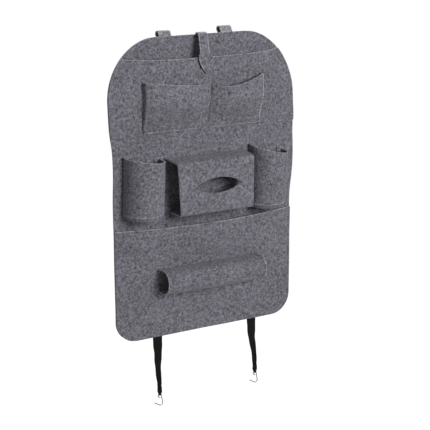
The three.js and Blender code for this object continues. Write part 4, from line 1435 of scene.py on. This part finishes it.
def woven_ribs():
    """Ribs across a woven elastic, with fine threads along it, and a painted highlight on the raised ribs.
    """
    group, inside, outside = new_group(
        "woven_ribs",
        [("Tone", "NodeSocketColor", (*ELASTIC_TONE, 1)), ("Rib Scale", "NodeSocketFloat", RIB_SCALE)],
        [("Colour", "NodeSocketColor"), ("Rib", "NodeSocketFloat")],
    )
    place = add_node(group, "ShaderNodeTexCoord").outputs["Object"]
    ribs = add_node(group, "ShaderNodeTexWave", {"Distortion": 0.6}, bands_direction="Z")
    group.links.new(place, ribs.inputs["Vector"])
    group.links.new(inside.outputs["Rib Scale"], ribs.inputs["Scale"])
    warp = add_node(
        group, "ShaderNodeTexWave", {"Scale": WARP_SCALE, "Distortion": 1.0}, bands_direction="X"
    )
    group.links.new(place, warp.inputs["Vector"])
    softer_warp = combine(group, "MULTIPLY", warp.outputs["Fac"], 0.4)
    relief = combine(group, "ADD", ribs.outputs["Fac"], softer_warp)
    rib_highlight = remap(group, relief, 0.7, 1.4, 0, 0.7)
    colour = blend_colour(group, rib_highlight, inside.outputs["Tone"], (*ELASTIC_RIB_HIGHLIGHT, 1))
    group.links.new(colour, outside.inputs["Colour"])
    group.links.new(relief, outside.inputs["Rib"])
    return group


elastic = cloth_material(
    "black_woven_elastic",
    woven_ribs(),
    {"Tone": (*ELASTIC_TONE, 1)},
    roughness=0.8,
    sheen=0.0,
    bump=0.7,
    relief=0.0005,
    shine=0.08,
)


def elastic_width(z, eye_top):
    gathered = ELASTIC_WIDTH + (ELASTIC_GATHERED - ELASTIC_WIDTH) * float(smooth(-z, *ELASTIC_GATHER))
    return gathered + (EYE_STRAND - gathered) * float(smooth(-z, -eye_top - EYE_REACH, -eye_top))


eye_places = {}
for side, sign, drift, eye_top in STRAP_SIDES:
    front = FELT + GAP
    tail_top = eye_top + EYE_TURN + ELASTIC_TAIL
    root_rows, hanging_rows, eased_rows, eye_rows = ELASTIC_ROWS
    route = [(front, z) for z in np.linspace(ELASTIC_ROOT, 0, root_rows)]
    route += [(front, z) for z in np.linspace(0, tail_top, hanging_rows)[1:]]
    eased = [(k, float(smooth(k, 0, 1))) for k in np.linspace(0, 1, eased_rows)[1:]]
    route += [(front + EYE_TURN * ease, tail_top + (eye_top - tail_top) * k) for k, ease in eased]
    route += [
        (front + EYE_TURN * cos(turn), eye_top - EYE_TURN * sin(turn))
        for turn in np.linspace(0, pi, eye_rows)[1:]
    ]
    route += [
        (front - EYE_TURN + (EYE_TURN - GAP) * ease, eye_top + (tail_top - eye_top) * k)
        for k, ease in eased
    ]
    band = []
    for y, z in route:
        hung = float(smooth(-z, 0, -tail_top))
        calm = float(smooth(-z, -tail_top - ELASTIC_CALM, -tail_top))
        free = float(smooth(-z, 0, ELASTIC_FREE)) * (1 - calm)
        share = np.linspace(-1, 1, ELASTIC_COLUMNS + 1)
        half = elastic_width(z, eye_top) / 2 * (1 + RUFFLE * free * sin(z / RUFFLE_RUN + sign))
        sway = SWAY * free * sin(z / SWAY_RUN + 2 * sign)
        pleat = PLEAT_DEPTH * free * hung * np.sin(share * pi * PLEATS + z / PLEAT_RUN)
        twist = ELASTIC_TWIST * sin(pi * min(1.0, max(0.0, z / tail_top)))
        reach = share * half
        aside = ELASTIC_ASIDE * (1 - float(smooth(-z, *ELASTIC_ASIDE_FADE)))
        x = sign * (ELASTIC_X + drift * hung) + aside + sway + reach * cos(twist) - pleat * sin(twist)
        depth = y + reach * sin(twist) + pleat * cos(twist)
        band.append(as_points(x, depth, z))
    band = np.array(band)
    points, solid, _ = grid_solid(offset_grid(band, ELASTIC), band)
    strap = add_piece(f"woven_elastic_{side}", points, solid, [elastic])
    soften_rim(strap, ELASTIC_RIM)
    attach(strap, "root")
    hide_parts(f"elastic_strap_{side}")
    eye_places[side] = (sign * (ELASTIC_X + drift), front, eye_top)
    root_share = np.linspace(-1, 1, ELASTIC_SEAM_POINTS)
    root_x = sign * ELASTIC_X + ELASTIC_ASIDE + root_share * (ELASTIC_WIDTH / 2 - ELASTIC_SEAM_INSET)
    root_seams = [(as_points(root_x, front + ELASTIC, z), BACKWARD) for z in ELASTIC_SEAMS]
    sew(f"thread_elastic_{side}", root_seams)

# Hooks: each is one length of zinc plated steel wire, bent to a closed eye, a straight shank and an
# open J that clips under the car seat.
WIRE_RADIUS = 1.2
EYE_RADIUS = 3.8
SHANK = 17.0
HOOK_BEND = 5.0
HOOK_TURN = radians(132)
HOOK_POINT = 15.0
HOOK_TILT = radians(10)
WIRE_TONE = (0.16, 0.16, 0.157)
WIRE_PALE = (0.28, 0.28, 0.274)
WIRE_CAP = (0.0, 0.5, 1.0, 1.35)
WIRE_SIDES = 16
WIRE_STEPS = (40, 6, 24, 6)
ZINC_CLOUD_SCALE = 900.0


def wire(path, radius, sides):
    """A round wire along a path in one plane, with rounded ends."""
    path = np.asarray(path, float)
    along = np.gradient(path, axis=0)
    along /= np.linalg.norm(along, axis=1, keepdims=True)
    outward = np.cross(along, FORWARD)
    outward /= np.linalg.norm(outward, axis=1, keepdims=True)
    rings = [(place, way, side, 1.0) for place, way, side in zip(path, along, outward)]
    for end, lean in ((0, 1), (-1, -1)):
        place, way, side, _ = rings.pop(end)
        caps = [(place + lean * way * radius * (1 - sin(turn)), way, side, cos(turn)) for turn in WIRE_CAP]
        rings = caps[::-1] + rings if end == 0 else rings + caps
    turns = np.linspace(0, tau, sides, endpoint=False)
    points = [
        place + radius * size * (cos(turn) * side + sin(turn) * np.cross(way, side))
        for place, way, side, size in rings
        for turn in turns
    ]
    faces = []
    for start in range(0, (len(rings) - 1) * sides, sides):
        for k in range(sides):
            after = (k + 1) % sides
            faces.append((start + k, start + after, start + sides + after, start + sides + k))
    faces.append(tuple(range(sides))[::-1])
    faces.append(tuple(range(len(points) - sides, len(points))))
    return np.array(points), faces


zinc = bpy.data.materials.new("zinc_plated_wire")
zinc.use_nodes = True
zinc_tree = zinc.node_tree
zinc_shader = zinc_tree.nodes["Principled BSDF"]
zinc_shader.inputs["Metallic"].default_value = 1.0
zinc_place = add_node(zinc_tree, "ShaderNodeTexCoord").outputs["Object"]
zinc_cloud = noise(zinc_tree, zinc_place, ZINC_CLOUD_SCALE, 3.0)
zinc_colour = blend_colour(zinc_tree, zinc_cloud, (*WIRE_TONE, 1), (*WIRE_PALE, 1))
zinc_matt = remap(zinc_tree, zinc_cloud, 0.3, 0.7, 0.22, 0.4)
zinc_tree.links.new(zinc_colour, zinc_shader.inputs["Base Color"])
zinc_tree.links.new(zinc_matt, zinc_shader.inputs["Roughness"])

for side, (eye_x, eye_y, eye_z) in eye_places.items():
    start = -np.arccos(1 - (2 * WIRE_RADIUS + GAP) / EYE_RADIUS)
    eye_steps, shank_steps, bend_steps, point_steps = WIRE_STEPS
    eye_turns = np.linspace(2 * pi + start, 0, eye_steps)
    shank_end = -EYE_RADIUS - SHANK
    bend_turns = np.linspace(0, -HOOK_TURN, bend_steps)
    wire_path = [(EYE_RADIUS * cos(t), -EYE_RADIUS + EYE_RADIUS * sin(t)) for t in eye_turns]
    wire_path += [(EYE_RADIUS, z) for z in np.linspace(-EYE_RADIUS, shank_end, shank_steps)[1:-1]]
    wire_path += [
        (EYE_RADIUS - HOOK_BEND + HOOK_BEND * cos(t), shank_end + HOOK_BEND * sin(t)) for t in bend_turns
    ]
    last_x, last_z = wire_path[-1]
    heading = (sin(-HOOK_TURN), -cos(-HOOK_TURN))
    wire_path += [
        (last_x + heading[0] * reach, last_z + heading[1] * reach)
        for reach in np.linspace(0, HOOK_POINT, point_steps)[1:]
    ]
    placed = [
        (
            eye_x + x * cos(HOOK_TILT) - (z + EYE_RADIUS) * sin(HOOK_TILT),
            eye_y,
            eye_z - EYE_RADIUS + x * sin(HOOK_TILT) + (z + EYE_RADIUS) * cos(HOOK_TILT),
        )
        for x, z in wire_path
    ]
    wire_points, wire_faces = wire(placed, WIRE_RADIUS, WIRE_SIDES)
    hook = add_piece(f"wire_hook_{side}", wire_points, wire_faces, [zinc])
    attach(hook, "root")
    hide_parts(f"hook_{side}")
